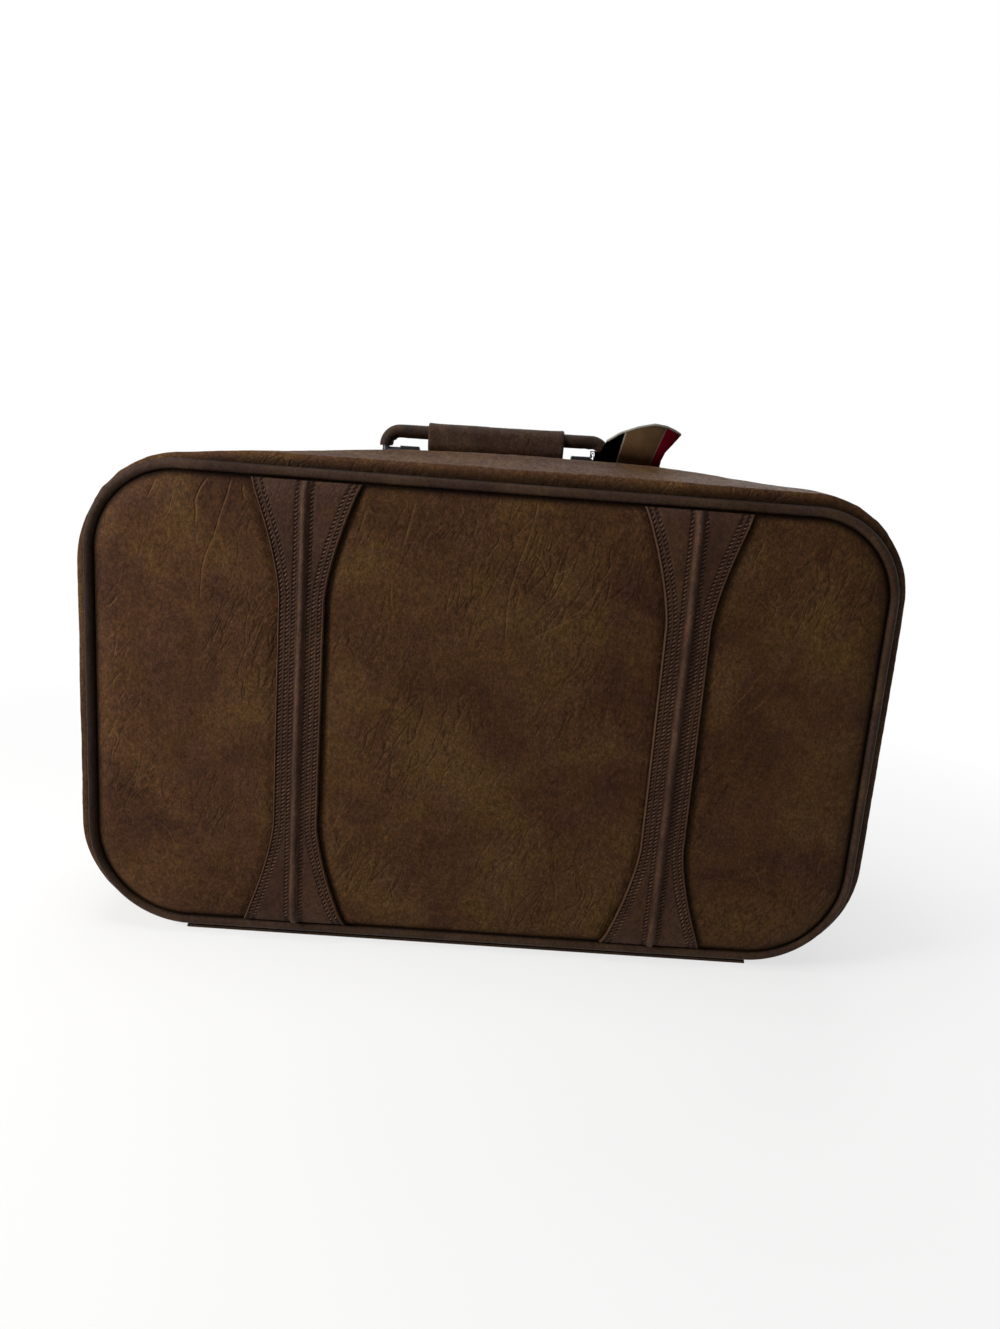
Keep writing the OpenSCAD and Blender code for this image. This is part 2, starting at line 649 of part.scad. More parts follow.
function band_z(x) = top_line + side_bulge + arch(band_y + band_w) * arch_at(x) - band_under;
function grip_depth(x, v) = pin_line_z(x) - pin_h + foot_t - v * tan(top_slope(handle_y)) - band_z(x);
module rivet_holes() {
    for (x = [left_bracket_x, right_bracket_x]) for (s = [-1, 1]) on_bracket(x)
        translate([0, s * rivet_y, -pin_h - 16]) cylinder(d = rivet_d + 2 * fit_gap, h = 18, $fn = 32);
}
module handle_rivets() {
    color("#9a9da2") for (x = [left_bracket_x, right_bracket_x]) for (s = [-1, 1]) {
        depth = grip_depth(x, s * rivet_y) + 0.5;
        on_bracket(x) translate([0, s * rivet_y, foot_t - pin_h]) {
            translate([0, 0, 0.05]) cylinder(d1 = head_d, d2 = head_d - 2, h = head_h, $fn = 32);
            translate([0, 0, -depth - 0.5]) cylinder(d = rivet_d, h = depth + 1, $fn = 32);
            translate([0, 0, -depth - tail_h]) cylinder(d = head_d, h = tail_h, $fn = 32);
        }
    }
}

// Ring looped round the right handle pin, with the curled luggage tag on it

ring_x = handle_x + handle_span / 2 - ring_in;
ring_mid_r = ring_r + ring_wire / 2;
ring_mid_z = pin_line_z(ring_x) + ring_r - pin_d / 2 - 0.15;
ring_turn = 36;
tag_eye_y = handle_y - ring_mid_r * sin(ring_turn);
tag_eye_z = ring_mid_z + ring_mid_r * cos(ring_turn);
tag_slot_w = 2.6;
tag_slot = [-1.5, 0.5];
tag_lead = 41;
tag_shape = [[-2, -2.2], [-0.8, -3.3], [0.9, -4.2], [2.2, -7.4], [54.6, -7.4], [55.6, -0.7], [58.6, 5.3],
    [64.6, 12.3], [71.4, 20.4], [65.8, 22.8], [57.6, 25.5], [47.2, 26.4], [34.4, 22.8], [20.1, 17.7], [9.5, 10.5],
    [5.6, 2.2], [3, 1.6], [1.5, 2.5], [-2, 2.5]];
tag_points = [for (p = tag_shape) p * tag_l / max([for (q = tag_shape) q[0]])];
tag_deep = 2 * tag_points[8][1] + tag_l / 4;
module tag_ring() {
    color("#c9ccd1") translate([ring_x, zip_y + handle_y, ring_mid_z]) rotate([0, 90, 0])
        rotate_extrude($fn = 64) translate([ring_mid_r, 0]) circle(d = ring_wire, $fn = 24);
}
module luggage_tag() {
    color("#2a2520") translate([ring_x, zip_y + tag_eye_y, tag_eye_z]) intersection() {
        rotate([90, 0, 0]) linear_extrude(tag_deep, center = true) difference() {
            polygon(tag_points);
            for (z = tag_slot) translate([0, z]) circle(d = tag_slot_w, $fn = 32);
            translate([-tag_slot_w / 2, tag_slot[0]]) square([tag_slot_w, tag_slot[1] - tag_slot[0]]);
        }
        translate([tag_curl_r * sin(tag_lead), tag_curl_r * cos(tag_lead), 0]) difference() {
            cylinder(r = tag_curl_r + tag_t / 2, h = tag_l, center = true, $fn = 180);
            cylinder(r = tag_curl_r - tag_t / 2, h = tag_l + 2, center = true, $fn = 180);
        }
    }
}

back_panel();
back_board();
back_piping();
body_gusset();
body_frame();
body_lining();
body_zip_tape();
body_zip_teeth();
body_base_strip();
tie_strap_left();
tie_strap_right();
tie_clasp();
left_handle_bracket();
right_handle_bracket();
handle_rivets();
tag_ring();
front_panel();
front_board();
front_piping();
lid_gusset();
lid_frame();
lid_lining();
lid_zip_tape();
lid_zip_teeth();
lid_base_strip();
lid_pocket();
lid_pocket_elastic();
left_strap();
right_strap();
left_strap_bead();
right_strap_bead();
hinge_strip();
slider_left();
slider_right();
pull_left();
pull_right();
handle_rod();
handle_cover();
handle_grip();
luggage_tag();
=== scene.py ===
"""Soft-sided zip suitcase in brown vinyl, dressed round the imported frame.

Sizes are in millimetres until a mesh is made. A half's own frame has y as the distance
from the zip plane, and make_half() stands it in the case: side 1 is the body, side -1 the lid.
"""

import math

import bmesh
import bpy
import numpy as np
from mathutils import Matrix, Vector


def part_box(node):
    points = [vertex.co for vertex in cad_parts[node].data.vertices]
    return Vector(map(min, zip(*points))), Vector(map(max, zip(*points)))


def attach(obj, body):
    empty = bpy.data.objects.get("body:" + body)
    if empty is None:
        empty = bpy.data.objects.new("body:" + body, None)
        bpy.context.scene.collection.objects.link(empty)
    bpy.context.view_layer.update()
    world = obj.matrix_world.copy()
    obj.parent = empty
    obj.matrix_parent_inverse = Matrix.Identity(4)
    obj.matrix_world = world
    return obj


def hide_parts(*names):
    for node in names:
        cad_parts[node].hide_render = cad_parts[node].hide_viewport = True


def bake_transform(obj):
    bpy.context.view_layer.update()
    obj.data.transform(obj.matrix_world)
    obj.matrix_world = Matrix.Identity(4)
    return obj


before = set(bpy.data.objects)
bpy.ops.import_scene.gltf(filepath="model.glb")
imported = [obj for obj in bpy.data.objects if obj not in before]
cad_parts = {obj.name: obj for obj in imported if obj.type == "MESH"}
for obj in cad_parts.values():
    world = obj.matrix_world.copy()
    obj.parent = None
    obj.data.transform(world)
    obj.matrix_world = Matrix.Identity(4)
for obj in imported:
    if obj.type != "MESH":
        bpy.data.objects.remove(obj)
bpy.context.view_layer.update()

MM = 0.001
BODY, LID = 1, -1
BODY_NAME = {BODY: "case_body", LID: "lid"}
HALF = {BODY: "body", LID: "lid"}
FACE = {BODY: "back", LID: "front"}

# Case
CASE_W = 595.0
CASE_H = 354.5
HALF_DEPTH = 84.0
TOP_R = 66.0
BOTTOM_R = 75.0
PIPING_RISE = 10.0
PIPING_R = 4.0
FLANGE_W = 12.0
FLANGE_T = 1.2
GUSSET_T = 2.4
SIDE_BULGE = 13.0
SWELL_DEPTH = 5.0
ARCH_RISE = 11.75
ARCH_R = 2790.0
ARCH_X = 45.0
SLOT_HALF = 7.0
CORNER_DRAW = 4.6
LID_RISE = 3.0
HEM_T = 5.0
HEM_W = 4.0
BASE_T = 2.0
FINE_STEP = 1.5
COARSE_STEP = 3.0

# Face panels and straps
GROOVE_IN = 5.0
ROLL_W = 22.0
ROLL_H = 5.5
PANEL_CROWN = 3.0
# Width of the painted shade in the groove round the face's rim
RIM_SHADE_W = 3.0
STRAP_X = {"left_strap": -139.0, "right_strap": 145.0}
STRAP_WAIST = 34.0
STRAP_END_W = 80.0
STRAP_FLARE = 86.0
STRAP_T = 2.2
STRAP_GAP = 0.4
CORD_W = 6.0
CORD_H = 2.6
STITCH_PITCH = 3.1
STITCH_SLANT = math.radians(45)
STITCH_SHIFT = (0.0, 0.5, 0.25)
STITCH_L = 3.7
STITCH_W = 1.35
STITCH_H = 1.0
STITCH_IN = 3.6
EDGE_ROWS = (3.2, 7.6)
CORD_ROW = 5.4

# Zip
TAPE_IN = 5.1
TAPE_T = 0.8
TAPE_Y = 5.3
TAPE_W = 7.4
BASE_X = 226.5

# Inside
LINING_IN = 8.6
LINING_T = 1.0
LINING_EDGE_Y = TAPE_Y + TAPE_W + 0.2
LINING_FLOOR_Y = 80.3
BEAD_IN = 4.3
POCKET_IN = 16.0
POCKET_Y = 76.6
POCKET_T = 2.4
POCKET_CLOTH_T = 0.8

# Handle
HANDLE_SPAN = 183.7
HANDLE_X = -6.1
HANDLE_Y = 25.0
HANDLE_RISE = 15.5
HANDLE_BEND_R = 12.0
HANDLE_TILT = math.radians(0.924489)
ROD_R = 3.0
COVER_R = 5.65
CORE_R = 3.05
COVER_START = 3.4
GRIP_L = 113.0
GRIP_W = 16.0
GRIP_H = 23.0
GRIP_FALL = 1.2
BORE_R = COVER_R + 0.05

# Luggage tag
TAG_CURL_R = 58.0
TAG_LEAD = math.radians(41)
TAG_CURL_X = TAG_CURL_R * math.sin(TAG_LEAD)
TAG_CURL_Y = TAG_CURL_R * math.cos(TAG_LEAD)
TAG_T = 1.2
TAG_RING_WIRE = 1.6
TAG_RING_TURN = math.radians(36)
TAG_TOP = [
    (5.6, 2.2), (9.5, 10.5), (20.1, 17.7), (34.4, 23.2),
    (47.2, 26.2), (57.6, 25.4), (65.8, 22.8), (71.4, 20.4),
]
TAG_END = [(54.2, -9.4), (55.2, -2.5), (58.6, 5.3), (64.6, 12.3), (71.4, 20.4)]

# Camera
CAMERA_PLACE = (-2.6, -709.3, 360.2)
CAMERA_DOWN = math.radians(11.32)
CAMERA_ASIDE = math.radians(-1.07)
CAMERA_ROLL = math.radians(4.35)
FOCAL_PIXELS = 850.0
PICTURE_HEIGHT = 1329.0
SENSOR = 36.0

# Worked out from these
EDGE_Y = HALF_DEPTH - PIPING_R - 0.3
HEM_Y = SLOT_HALF + HEM_W
MID_Z = PIPING_RISE + CASE_H / 2
TOP_LINE = PIPING_RISE + CASE_H
BOTTOM_BULGE = PIPING_RISE - BASE_T - 0.1
PANEL_Y = HALF_DEPTH + FLANGE_T / 2 + 0.2
PANEL_EDGE_Y = PANEL_Y + 1.2
PANEL_HALF_W = CASE_W / 2 - GROOVE_IN
PANEL_HALF_H = CASE_H / 2 - GROOVE_IN
STRAP_LOW = MID_Z - PANEL_HALF_H + STRAP_GAP
STRAP_HIGH = MID_Z + PANEL_HALF_H - STRAP_GAP
STRAP_Z = np.linspace(STRAP_LOW, STRAP_HIGH, 440)[:, None]


# Noise and small helpers

LATTICE = np.random.default_rng(11).random(4096) * 2 - 1
PRIMES = (73856093, 19349663, 83492791)


def noise(points, size, seed=0.0):
    """Smooth noise from -1 to 1 whose features are about that size."""
    q = points / size + seed * 13.7
    cell = np.floor(q).astype(np.int64)
    f = smooth_step(q - cell)
    total = np.zeros(len(q))
    for corner in np.ndindex(2, 2, 2):
        x, y, z = ((cell + corner) * PRIMES).T
        weight = np.prod(np.where(corner, f, 1 - f), axis=1)
        total += weight * LATTICE[(x ^ y ^ z) & 4095]
    return total


def ridges(points, size, seed=0.0):
    """Noise with sharp crests, from 0 to 1."""
    return (1 - np.abs(noise(points, size, seed))) ** 3


def points_of(x, y, z):
    """Points from their coordinates, where a plain number counts for all of them."""
    return np.stack(np.broadcast_arrays(x, y, z), axis=-1)


def flat_points(x, z):
    return points_of(x, 0.0, z).reshape(-1, 3)


def smooth_step(t):
    t = np.clip(t, 0, 1)
    return t * t * (3 - 2 * t)


def bell(distance, width):
    return np.exp(-((distance / width) ** 2))


def unit(vectors):
    return vectors / np.linalg.norm(vectors, axis=1, keepdims=True)


def lengths(points):
    """Length along a flat line of points, from its start to each one."""
    return np.concatenate([[0], np.cumsum(np.hypot(*np.diff(points, axis=0).T))])


def along_line(corners, count):
    """Even steps along the straight lines between corners, and the points there."""
    c = np.array(corners, float)
    steps = lengths(c)
    s = np.linspace(0, steps[-1], count)
    return s, np.column_stack([np.interp(s, steps, c[:, 0]), np.interp(s, steps, c[:, 1])])


def grid_faces(rows, columns, wrap_rows=False, wrap_columns=False):
    """Quads of a grid of points stored row by row."""
    r = np.arange(rows if wrap_rows else rows - 1)
    c = np.arange(columns if wrap_columns else columns - 1)
    r, c = np.meshgrid(r, c, indexing="ij")
    r1, c1 = (r + 1) % rows, (c + 1) % columns
    quads = np.stack([r * columns + c, r1 * columns + c, r1 * columns + c1, r * columns + c1], -1)
    return quads.reshape(-1, 4).tolist()


def looped(rows):
    """Points and faces of rings of points, with the last ring joined to the first."""
    faces = grid_faces(len(rows), len(rows[0]), wrap_rows=True, wrap_columns=True)
    return np.concatenate(rows), faces


def capped(rows, *tips):
    """Points and faces of rings of points, closed by a tip at each end."""
    count = len(rows[0])
    points = np.concatenate([*rows, tips])
    faces = grid_faces(len(rows), count, wrap_columns=True)
    for start, tip in ((0, len(points) - 2), ((len(rows) - 1) * count, len(points) - 1)):
        faces += [[start + i, start + (i + 1) % count, tip] for i in range(count)]
    return points, faces


def two_sided(front, back):
    """Points and faces of a closed sheet between two grids of the same shape."""
    rows, columns = front.shape[:2]
    ring = np.concatenate([front, back[:, ::-1]], axis=1)
    faces = grid_faces(rows, 2 * columns, wrap_columns=True)
    for row in (0, rows - 1):
        base = row * 2 * columns
        for i in range(columns - 1):
            j = 2 * columns - 1 - i
            faces.append([base + i, base + i + 1, base + j - 1, base + j])
    return ring.reshape(-1, 3), faces


def sheet(x, z, front, back):
    """Points and faces of a closed sheet over a grid of x and z, between two depths."""
    return two_sided(points_of(x, front, z), points_of(x, back, z))


def add_object(name, data):
    made = bpy.data.objects.new(name, data)
    bpy.context.collection.objects.link(made)
    return made


def make(name, shape, material, body, slot, *replaces):
    """One mesh object from points in millimetres and faces, with its normals made to agree."""
    points, faces = shape
    mesh = bpy.data.meshes.new(name)
    mesh.from_pydata((points * MM).tolist(), [], faces)
    work = bmesh.new()
    work.from_mesh(mesh)
    bmesh.ops.recalc_face_normals(work, faces=work.faces)
    work.to_mesh(mesh)
    work.free()
    mesh.shade_smooth()
    mesh.materials.append(material)
    piece = add_object(name, mesh)
    if body:
        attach(piece, body)
    if replaces:
        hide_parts(*replaces)
    return piece


def make_half(side, name, shape, material, slot, *replaces):
    """A piece of one half, stood in the case."""
    points, faces = shape
    shape = points * [1, side, 1] + [0, ZIP_Y, 0], faces
    return make(name, shape, material, BODY_NAME[side], slot, *replaces)


def carry(piece, **values):
    """Gives the mesh named values, one to each point."""
    for name, value in values.items():
        attribute = piece.data.attributes.new(name, "FLOAT", "POINT")
        attribute.data.foreach_set("value", np.ravel(value))


def box_span(node, axis, count):
    """Even places across a node's box at rest, in millimetres."""
    low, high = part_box(node)
    return np.linspace(getattr(low, axis), getattr(high, axis), count) / MM


ZIP_Y = box_span("hinge_strip", "y", 2).mean()


# The wall's shape, the same as the part's


def outline(step):
    """Points of the piping line: x, z, outward normal x, z and the length along it."""
    w = CASE_W / 2
    low, high = PIPING_RISE + BOTTOM_R, TOP_LINE - TOP_R
    corners = [
        (w - BOTTOM_R, low, BOTTOM_R, -90),
        (w - TOP_R, high, TOP_R, 0),
        (TOP_R - w, high, TOP_R, 90),
        (BOTTOM_R - w, low, BOTTOM_R, 180),
    ]
    rows = []
    for (x, z, r, start), (next_x, next_z, next_r, _) in zip(corners, corners[1:] + corners[:1]):
        n = math.ceil(r * math.pi / 2 / step)
        for a in np.radians(start + 90 * np.arange(n + 1) / n):
            rows.append((x + r * math.cos(a), z + r * math.sin(a), math.cos(a), math.sin(a)))
        x0, z0, nx, nz = rows[-1]
        dx, dz = next_x + next_r * nx - x0, next_z + next_r * nz - z0
        n = math.ceil(math.hypot(dx, dz) / step)
        rows += [(x0 + dx * t, z0 + dz * t, nx, nz) for t in np.arange(1, n) / n]
    q = np.array(rows)
    return np.column_stack([q, lengths(q[:, :2])])


FINE = outline(FINE_STEP)
COARSE = outline(COARSE_STEP)


def moved_out(q, d):
    """The x and z of an outline's points, moved out by d."""
    return q[:, 0] + q[:, 2] * d, q[:, 1] + q[:, 3] * d


def swell(y):
    t = min(1.0, max(0.0, (EDGE_Y - y) / SWELL_DEPTH))
    return math.sqrt(1 - (1 - t) ** 2)


def arch(y):
    return math.cos(math.radians(90 * min(1.0, y / EDGE_Y)))


def bulge(q, s, a):
    """How far the wall stands out of the piping line, for a swell s and an arch a."""
    up = np.maximum(q[:, 3], 0)
    down = np.maximum(-q[:, 3], 0)
    side = s * (SIDE_BULGE * (q[:, 2] ** 2 + up**2) + BOTTOM_BULGE * down**2)
    return side + a * up**2 * (ARCH_RISE - (q[:, 0] - ARCH_X) ** 2 / (2 * ARCH_R))


def ring(q, y, s, a, inset):
    """A ring of the wall at depth y, moved in by inset, which may differ from point to point."""
    x, z = moved_out(q, bulge(q, s, a) - inset)
    return points_of(x, float(y), z)


def wall_ring(q, y, inset):
    return ring(q, y, swell(y), arch(y), inset)


def scaled(points, k):
    return points * [k, 1, k] + [0, 0, MID_Z * (1 - k)]


# Materials


class Net:
    """A tree of shader nodes, with short calls that add a node and return what it gives."""

    def __init__(self, tree, shader):
        self.nodes, self.links = tree.nodes, tree.links
        self.shader = self.nodes[shader]

    def feed(self, socket, value):
        """Links what another node gives, or sets a plain value."""
        if isinstance(value, bpy.types.NodeSocket):
            self.links.new(value, socket)
        elif socket.type == "RGBA":
            socket.default_value = (*value, 1)
        else:
            socket.default_value = value

    def give(self, name, value):
        self.feed(self.shader.inputs[name], value)

    def add(self, kind, inputs=(), **settings):
        node = self.nodes.new("ShaderNode" + kind)
        for name, value in settings.items():
            setattr(node, name, value)
        for name, value in dict(inputs).items():
            self.feed(node.inputs[name], value)
        return node

    def place(self):
        """The object's own coordinates."""
        return self.add("TexCoord").outputs["Object"]

    def split(self, vector):
        return self.add("SeparateXYZ", {0: vector}).outputs

    def value_of(self, name):
        return self.add("Attribute", attribute_name=name).outputs["Fac"]

    def noise(self, vector, scale, detail=3.0, roughness=0.5, distortion=0.0):
        inputs = {"Vector": vector, "Scale": scale, "Detail": detail}
        inputs |= {"Roughness": roughness, "Distortion": distortion}
        return self.add("TexNoise", inputs).outputs["Fac"]

    def stretched(self, vector, scale=(1, 1, 1), turn=0.0):
        """The coordinates scaled, and turned about y by so many degrees."""
        inputs = {"Vector": vector, "Scale": scale, "Rotation": (0, math.radians(turn), 0)}
        return self.add("Mapping", inputs).outputs["Vector"]

    def cells(self, vector, scale):
        """Distance from the edges between cells."""
        inputs = {"Vector": vector, "Scale": scale}
        return self.add("TexVoronoi", inputs, feature="DISTANCE_TO_EDGE").outputs["Distance"]

    def ramp(self, value, *stops):
        """Colours over a value. Each stop is a place with a colour, or a number for a grey."""
        node = self.add("ValToRGB", {"Fac": value})
        marks = node.color_ramp.elements
        marks.remove(marks[0])
        for i, (place, colour) in enumerate(stops):
            mark = marks.new(place) if i else marks[0]
            mark.position = place
            mark.color = (*colour, 1) if isinstance(colour, tuple) else (colour,) * 3 + (1,)
        return node.outputs["Color"]

    def mixed(self, factor, a, b, blend="MIX"):
        inputs = {"Factor": factor, "A": a, "B": b}
        return self.add("Mix", inputs, data_type="RGBA", blend_type=blend).outputs["Result"]

    def tinted(self, base, tint, share=1.0):
        return self.mixed(share, base, tint, "MULTIPLY")

    def maths(self, operation, *values):
        return self.add("Math", enumerate(values), operation=operation).outputs[0]

    def times(self, a, b):
        return self.maths("MULTIPLY", a, b)

    def minus(self, a, b):
        return self.maths("SUBTRACT", a, b)

    def times_plus(self, a, b, c):
        return self.maths("MULTIPLY_ADD", a, b, c)

    def near_zero(self, value, width):
        """One where the value is zero, falling off to nothing past the width."""
        return self.maths("POWER", math.e, self.times(self.times(value, value), -1 / width**2))

    def bump(self, height, strength, distance):
        inputs = {"Height": height, "Strength": strength, "Distance": distance}
        self.give("Normal", self.add("Bump", inputs).outputs["Normal"])


def new_material(name, roughness, metallic=0.0, specular=0.5):
    material = bpy.data.materials.new(name)
    material.use_nodes = True
    net = Net(material.node_tree, "Principled BSDF")
    net.give("Roughness", roughness)
    net.give("Metallic", metallic)
    net.give("Specular IOR Level", specular)
    return material, net


def srgb(colour):
    """A colour written as 8-bit display values, as the shaders take it."""
    return tuple(((c / 255 + 0.055) / 1.055) ** 2.4 if c > 10 else c / 255 / 12.92 for c in colour)


def shade(colour, share):
    return tuple(c * share for c in colour)


def crease_lines(net):
    """Creases along the lines that the mesh carries as its crease values: a dark core of painted shade,
    and on one side a pale flank, a painted highlight where the ridge beside the crease faces the light.
    """
    offset, fade = net.value_of("crease_offset"), net.value_of("crease_fade")
    line = net.near_zero(offset, 0.33)
    flank = net.near_zero(net.minus(offset, 0.95), 0.5)
    return net.times(line, fade), net.times(flank, fade), 0.5


def stitch_holes(net):
    """Slanted slits between the stitches, in rows beside the strap's edges and its cord; the slits are
    darkened with painted shade and the edge lip lightened with a painted highlight.
    """
    across, inset = net.value_of("across"), net.value_of("inset")
    side = net.maths("SIGN", across)
    inward = net.times(side, -1.0)
    z = net.split(net.place())["Z"]
    c, s = math.cos(STITCH_SLANT), math.sin(STITCH_SLANT)
    rows = [(inset, row, inward) for row in EDGE_ROWS]
    rows.append((net.maths("ABSOLUTE", across), CORD_ROW, side))
    holes = 0.0
    for (distance, row, way), shift in zip(rows, STITCH_SHIFT):
        aside = net.times(net.minus(distance, row), way)
        turns = net.times_plus(z, 1 / MM / STITCH_PITCH, 0.5 + shift)
        up = net.times(net.minus(net.maths("FRACT", turns), 0.5), STITCH_PITCH)
        long = net.times_plus(up, c, net.times(aside, s))
        wide = net.times_plus(aside, c, net.times(up, -s))
        hole = net.times(net.near_zero(wide, 0.95), net.near_zero(net.times(long, long), 4.2))
        holes = net.maths("MAXIMUM", holes, hole)
    # The strap's folded edge lip is painted pale, a painted highlight.
    lip = net.near_zero(net.minus(inset, 0.7), 0.45)
    return holes, lip, 0.95


def hair_cracks(net, where, leaning):
    """Fine leaning cracks, in some places only."""
    wander = net.times(net.noise(where, WANDER_SCALE, 1.0), 0.014)
    spread = net.add("CombineXYZ", {"X": wander, "Y": wander, "Z": wander}).outputs[0]
    inputs = {0: leaning, 1: (1, 1, 0.22), 2: spread}
    warped = net.add("VectorMath", inputs, operation="MULTIPLY_ADD").outputs[0]
    line = net.ramp(net.cells(warped, CRACK_SCALE), (0.0, 1.0), (0.03, 0.0))
    return net.tinted(line, net.ramp(net.noise(where, CRACKED_SCALE), (0.52, 0.0), (0.66, 1.0)))


def soft_folds(net, where, leaning):
    """Long shallow folds, where the vinyl is loose."""
    folds = net.noise(net.stretched(leaning, (1, 1, 0.32)), FOLD_SCALE, 2.5, 0.5, 0.6)
    loose = net.ramp(net.noise(where, LOOSE_SCALE), (0.44, 0.0), (0.6, 1.0))
    return net.times(net.near_zero(net.minus(folds, 0.5), 0.03), loose)


def vinyl(
    name, tones, roughness=0.5, grain=1.0, blotch=13.0, creases=1.0, shine=0.15, marks=None,
    fibre=(1, 1, 0.8),
):
    """Grained vinyl: cloudy patches, fine mottling, pebble grain, hair creases and deep marks, with
    painted shade in its folds and its marks' cores, a painted highlight on the marks' flanks, and
    painted shade laid on the mesh's points.
    """
    material, net = new_material(name, roughness, specular=shine)
    dark, middle, light = map(srgb, tones)
    pale = shade(light, 2.1)
    where = net.place()
    leaning = net.stretched(where, turn=CREASE_TURN)
    fibres = net.stretched(where, fibre)

    clouds = net.noise(where, blotch, 5.0, 0.62, 0.6)
    patches = net.ramp(clouds, (0.32, dark), (0.5, middle), (0.68, light))
    hue = net.noise(net.stretched(where, (1, 1, 0.8)), blotch * 2.6, 3.0, 0.5, 1.2)
    base = net.tinted(patches, net.ramp(hue, *HUE_CAST), 0.58)
    mottle = net.noise(fibres, MOTTLE_SCALE, 6.0, 0.78)
    base = net.tinted(base, net.ramp(mottle, *MOTTLE_TINT), 0.9 * min(1.0, grain))

    fold = soft_folds(net, where, leaning)
    hair = hair_cracks(net, where, leaning)
    # Painted shade darkens the soft folds.
    base = net.mixed(net.times(fold, 0.24 * creases), base, shade(dark, 0.4))
    base = net.mixed(net.times(hair, 0.24 * creases), base, pale)
    streaks = net.noise(fibres, STREAK_SCALE, 4.0, 0.75)
    base = net.tinted(base, net.ramp(streaks, *STREAK_TINT), 0.9 * min(1.0, grain))

    pebbles = net.ramp(net.cells(where, PEBBLE_SCALE), (0.0, 0.0), (0.2, 1.0))
    height = net.times_plus(pebbles, 0.35, streaks)
    height = net.times_plus(mottle, 1.5, height)
    height = net.times_plus(hair, -creases, height)
    height = net.times_plus(fold, -1.8 * creases, height)
    if marks:
        # Painted shade darkens each mark's core, and a painted highlight lightens its flank.
        deep, flank, share = marks(net)
        base = net.mixed(net.times(flank, 0.5), base, pale)
        base = net.mixed(net.times(deep, share), base, shade(dark, 0.2))
        height = net.times_plus(deep, -1.8, height)
    # Painted shade, carried by the mesh's points, darkens the colour.
    painted_shade_factor = net.times_plus(net.value_of("soil"), -0.85, 1.0)
    net.give("Base Color", net.tinted(base, painted_shade_factor))
    net.give("Roughness", net.ramp(mottle, (0.3, roughness + 0.1), (0.7, roughness - 0.06)))
    net.bump(height, 0.6 * grain, 0.0006)
    return material


def metal(name, colour, roughness, brushed=(1, 1, 1), scale=900.0, strength=0.15, metallic=1.0):
    material, net = new_material(name, roughness, metallic)
    colour = srgb(colour)
    streaks = net.noise(net.stretched(net.place(), brushed), scale, 2.0)
    net.give("Base Color", net.ramp(streaks, (0.3, shade(colour, 0.72)), (0.7, colour)))
    net.give("Roughness", net.ramp(streaks, (0.3, roughness * 0.8), (0.7, roughness * 1.25)))
    net.bump(streaks, strength, 0.0001)
    return material


def woven(name, colour, threads, across="Z"):
    """Plain weave from two crossed sets of waves, with so many threads to the metre."""
    material, net = new_material(name, 0.85, specular=0.2)
    colour = srgb(colour)
    where = net.place()
    inputs = {"Vector": where, "Scale": threads / math.pi, "Distortion": 0.6, "Detail": 1.0}
    waves = [net.add("TexWave", inputs, bands_direction=axis) for axis in ("X", across)]
    weave = net.maths("MAXIMUM", *(wave.outputs["Fac"] for wave in waves))
    tone = net.mixed(weave, shade(colour, 0.55), colour)
    cloudy = net.ramp(net.noise(where, 24.0, 4.0), (0.3, 0.82), (0.7, 1.1))
    net.give("Base Color", net.tinted(tone, cloudy))
    net.give("Sheen Weight", 0.25)
    net.bump(weave, 0.5, 0.0003)
    return material


def board_material():
    material, net = new_material("fibre_board", 0.85, specular=0.2)
    fibres = net.noise(net.stretched(net.place(), (1, 1, 5)), 240.0, 6.0, 0.7)
    dark, light = srgb((104, 78, 48)), srgb((152, 122, 82))
    net.give("Base Color", net.ramp(fibres, (0.3, dark), (0.7, light)))
    net.bump(fibres, 0.3, 0.0003)
    return material


def tag_material():
    """Plain slanting bands: black, a pale line, olive brown, a grey line and a maroon end."""
    material, net = new_material("tag_vinyl", 0.6, specular=0.0)
    where = net.place()
    split = net.split(where)
    tone = srgb((3, 3, 2))
    for x, z, slope, width, line, after in TAG_LINES:
        past = net.maths("ADD", split["X"], net.times_plus(split["Z"], -slope, slope * z - x))
        tone = net.mixed(net.maths("GREATER_THAN", past, -width / 2), tone, srgb(line))
        tone = net.mixed(net.maths("GREATER_THAN", past, width / 2), tone, srgb(after))
    scuffs = net.noise(where, 150.0, 5.0)
    tone = net.tinted(tone, net.ramp(scuffs, (0.3, 0.85), (0.75, 1.15)))
    height = net.minus(net.times_plus(split["X"], 0.14, split["Z"]), TAG_SHADE_Z)
    shading = net.ramp(net.maths("DIVIDE", height, TAG_SHADE_H), *TAG_SHADING)
    net.give("Base Color", net.tinted(tone, shading))
    net.bump(scuffs, 0.15, 0.0003)
    return material


# Sizes of the vinyl's patterns, as so many to the metre, and how its creases lean
MOTTLE_SCALE = 230.0
STREAK_SCALE = 520.0
PEBBLE_SCALE = 480.0
CRACK_SCALE = 58.0
CRACKED_SCALE = 17.0
WANDER_SCALE = 30.0
FOLD_SCALE = 82.0
LOOSE_SCALE = 11.0
CREASE_TURN = -24

# Tints over a pattern's value
HUE_CAST = [(0.36, (0.98, 0.94, 1.18)), (0.5, (1.02, 0.98, 0.95)), (0.64, (1.04, 1.05, 0.78))]
MOTTLE_TINT = [(0.35, (0.7, 0.7, 0.71)), (0.5, 1.0), (0.65, (1.34, 1.32, 1.26))]
STREAK_TINT = [(0.38, 0.66), (0.5, 1.0), (0.62, (1.4, 1.37, 1.3))]

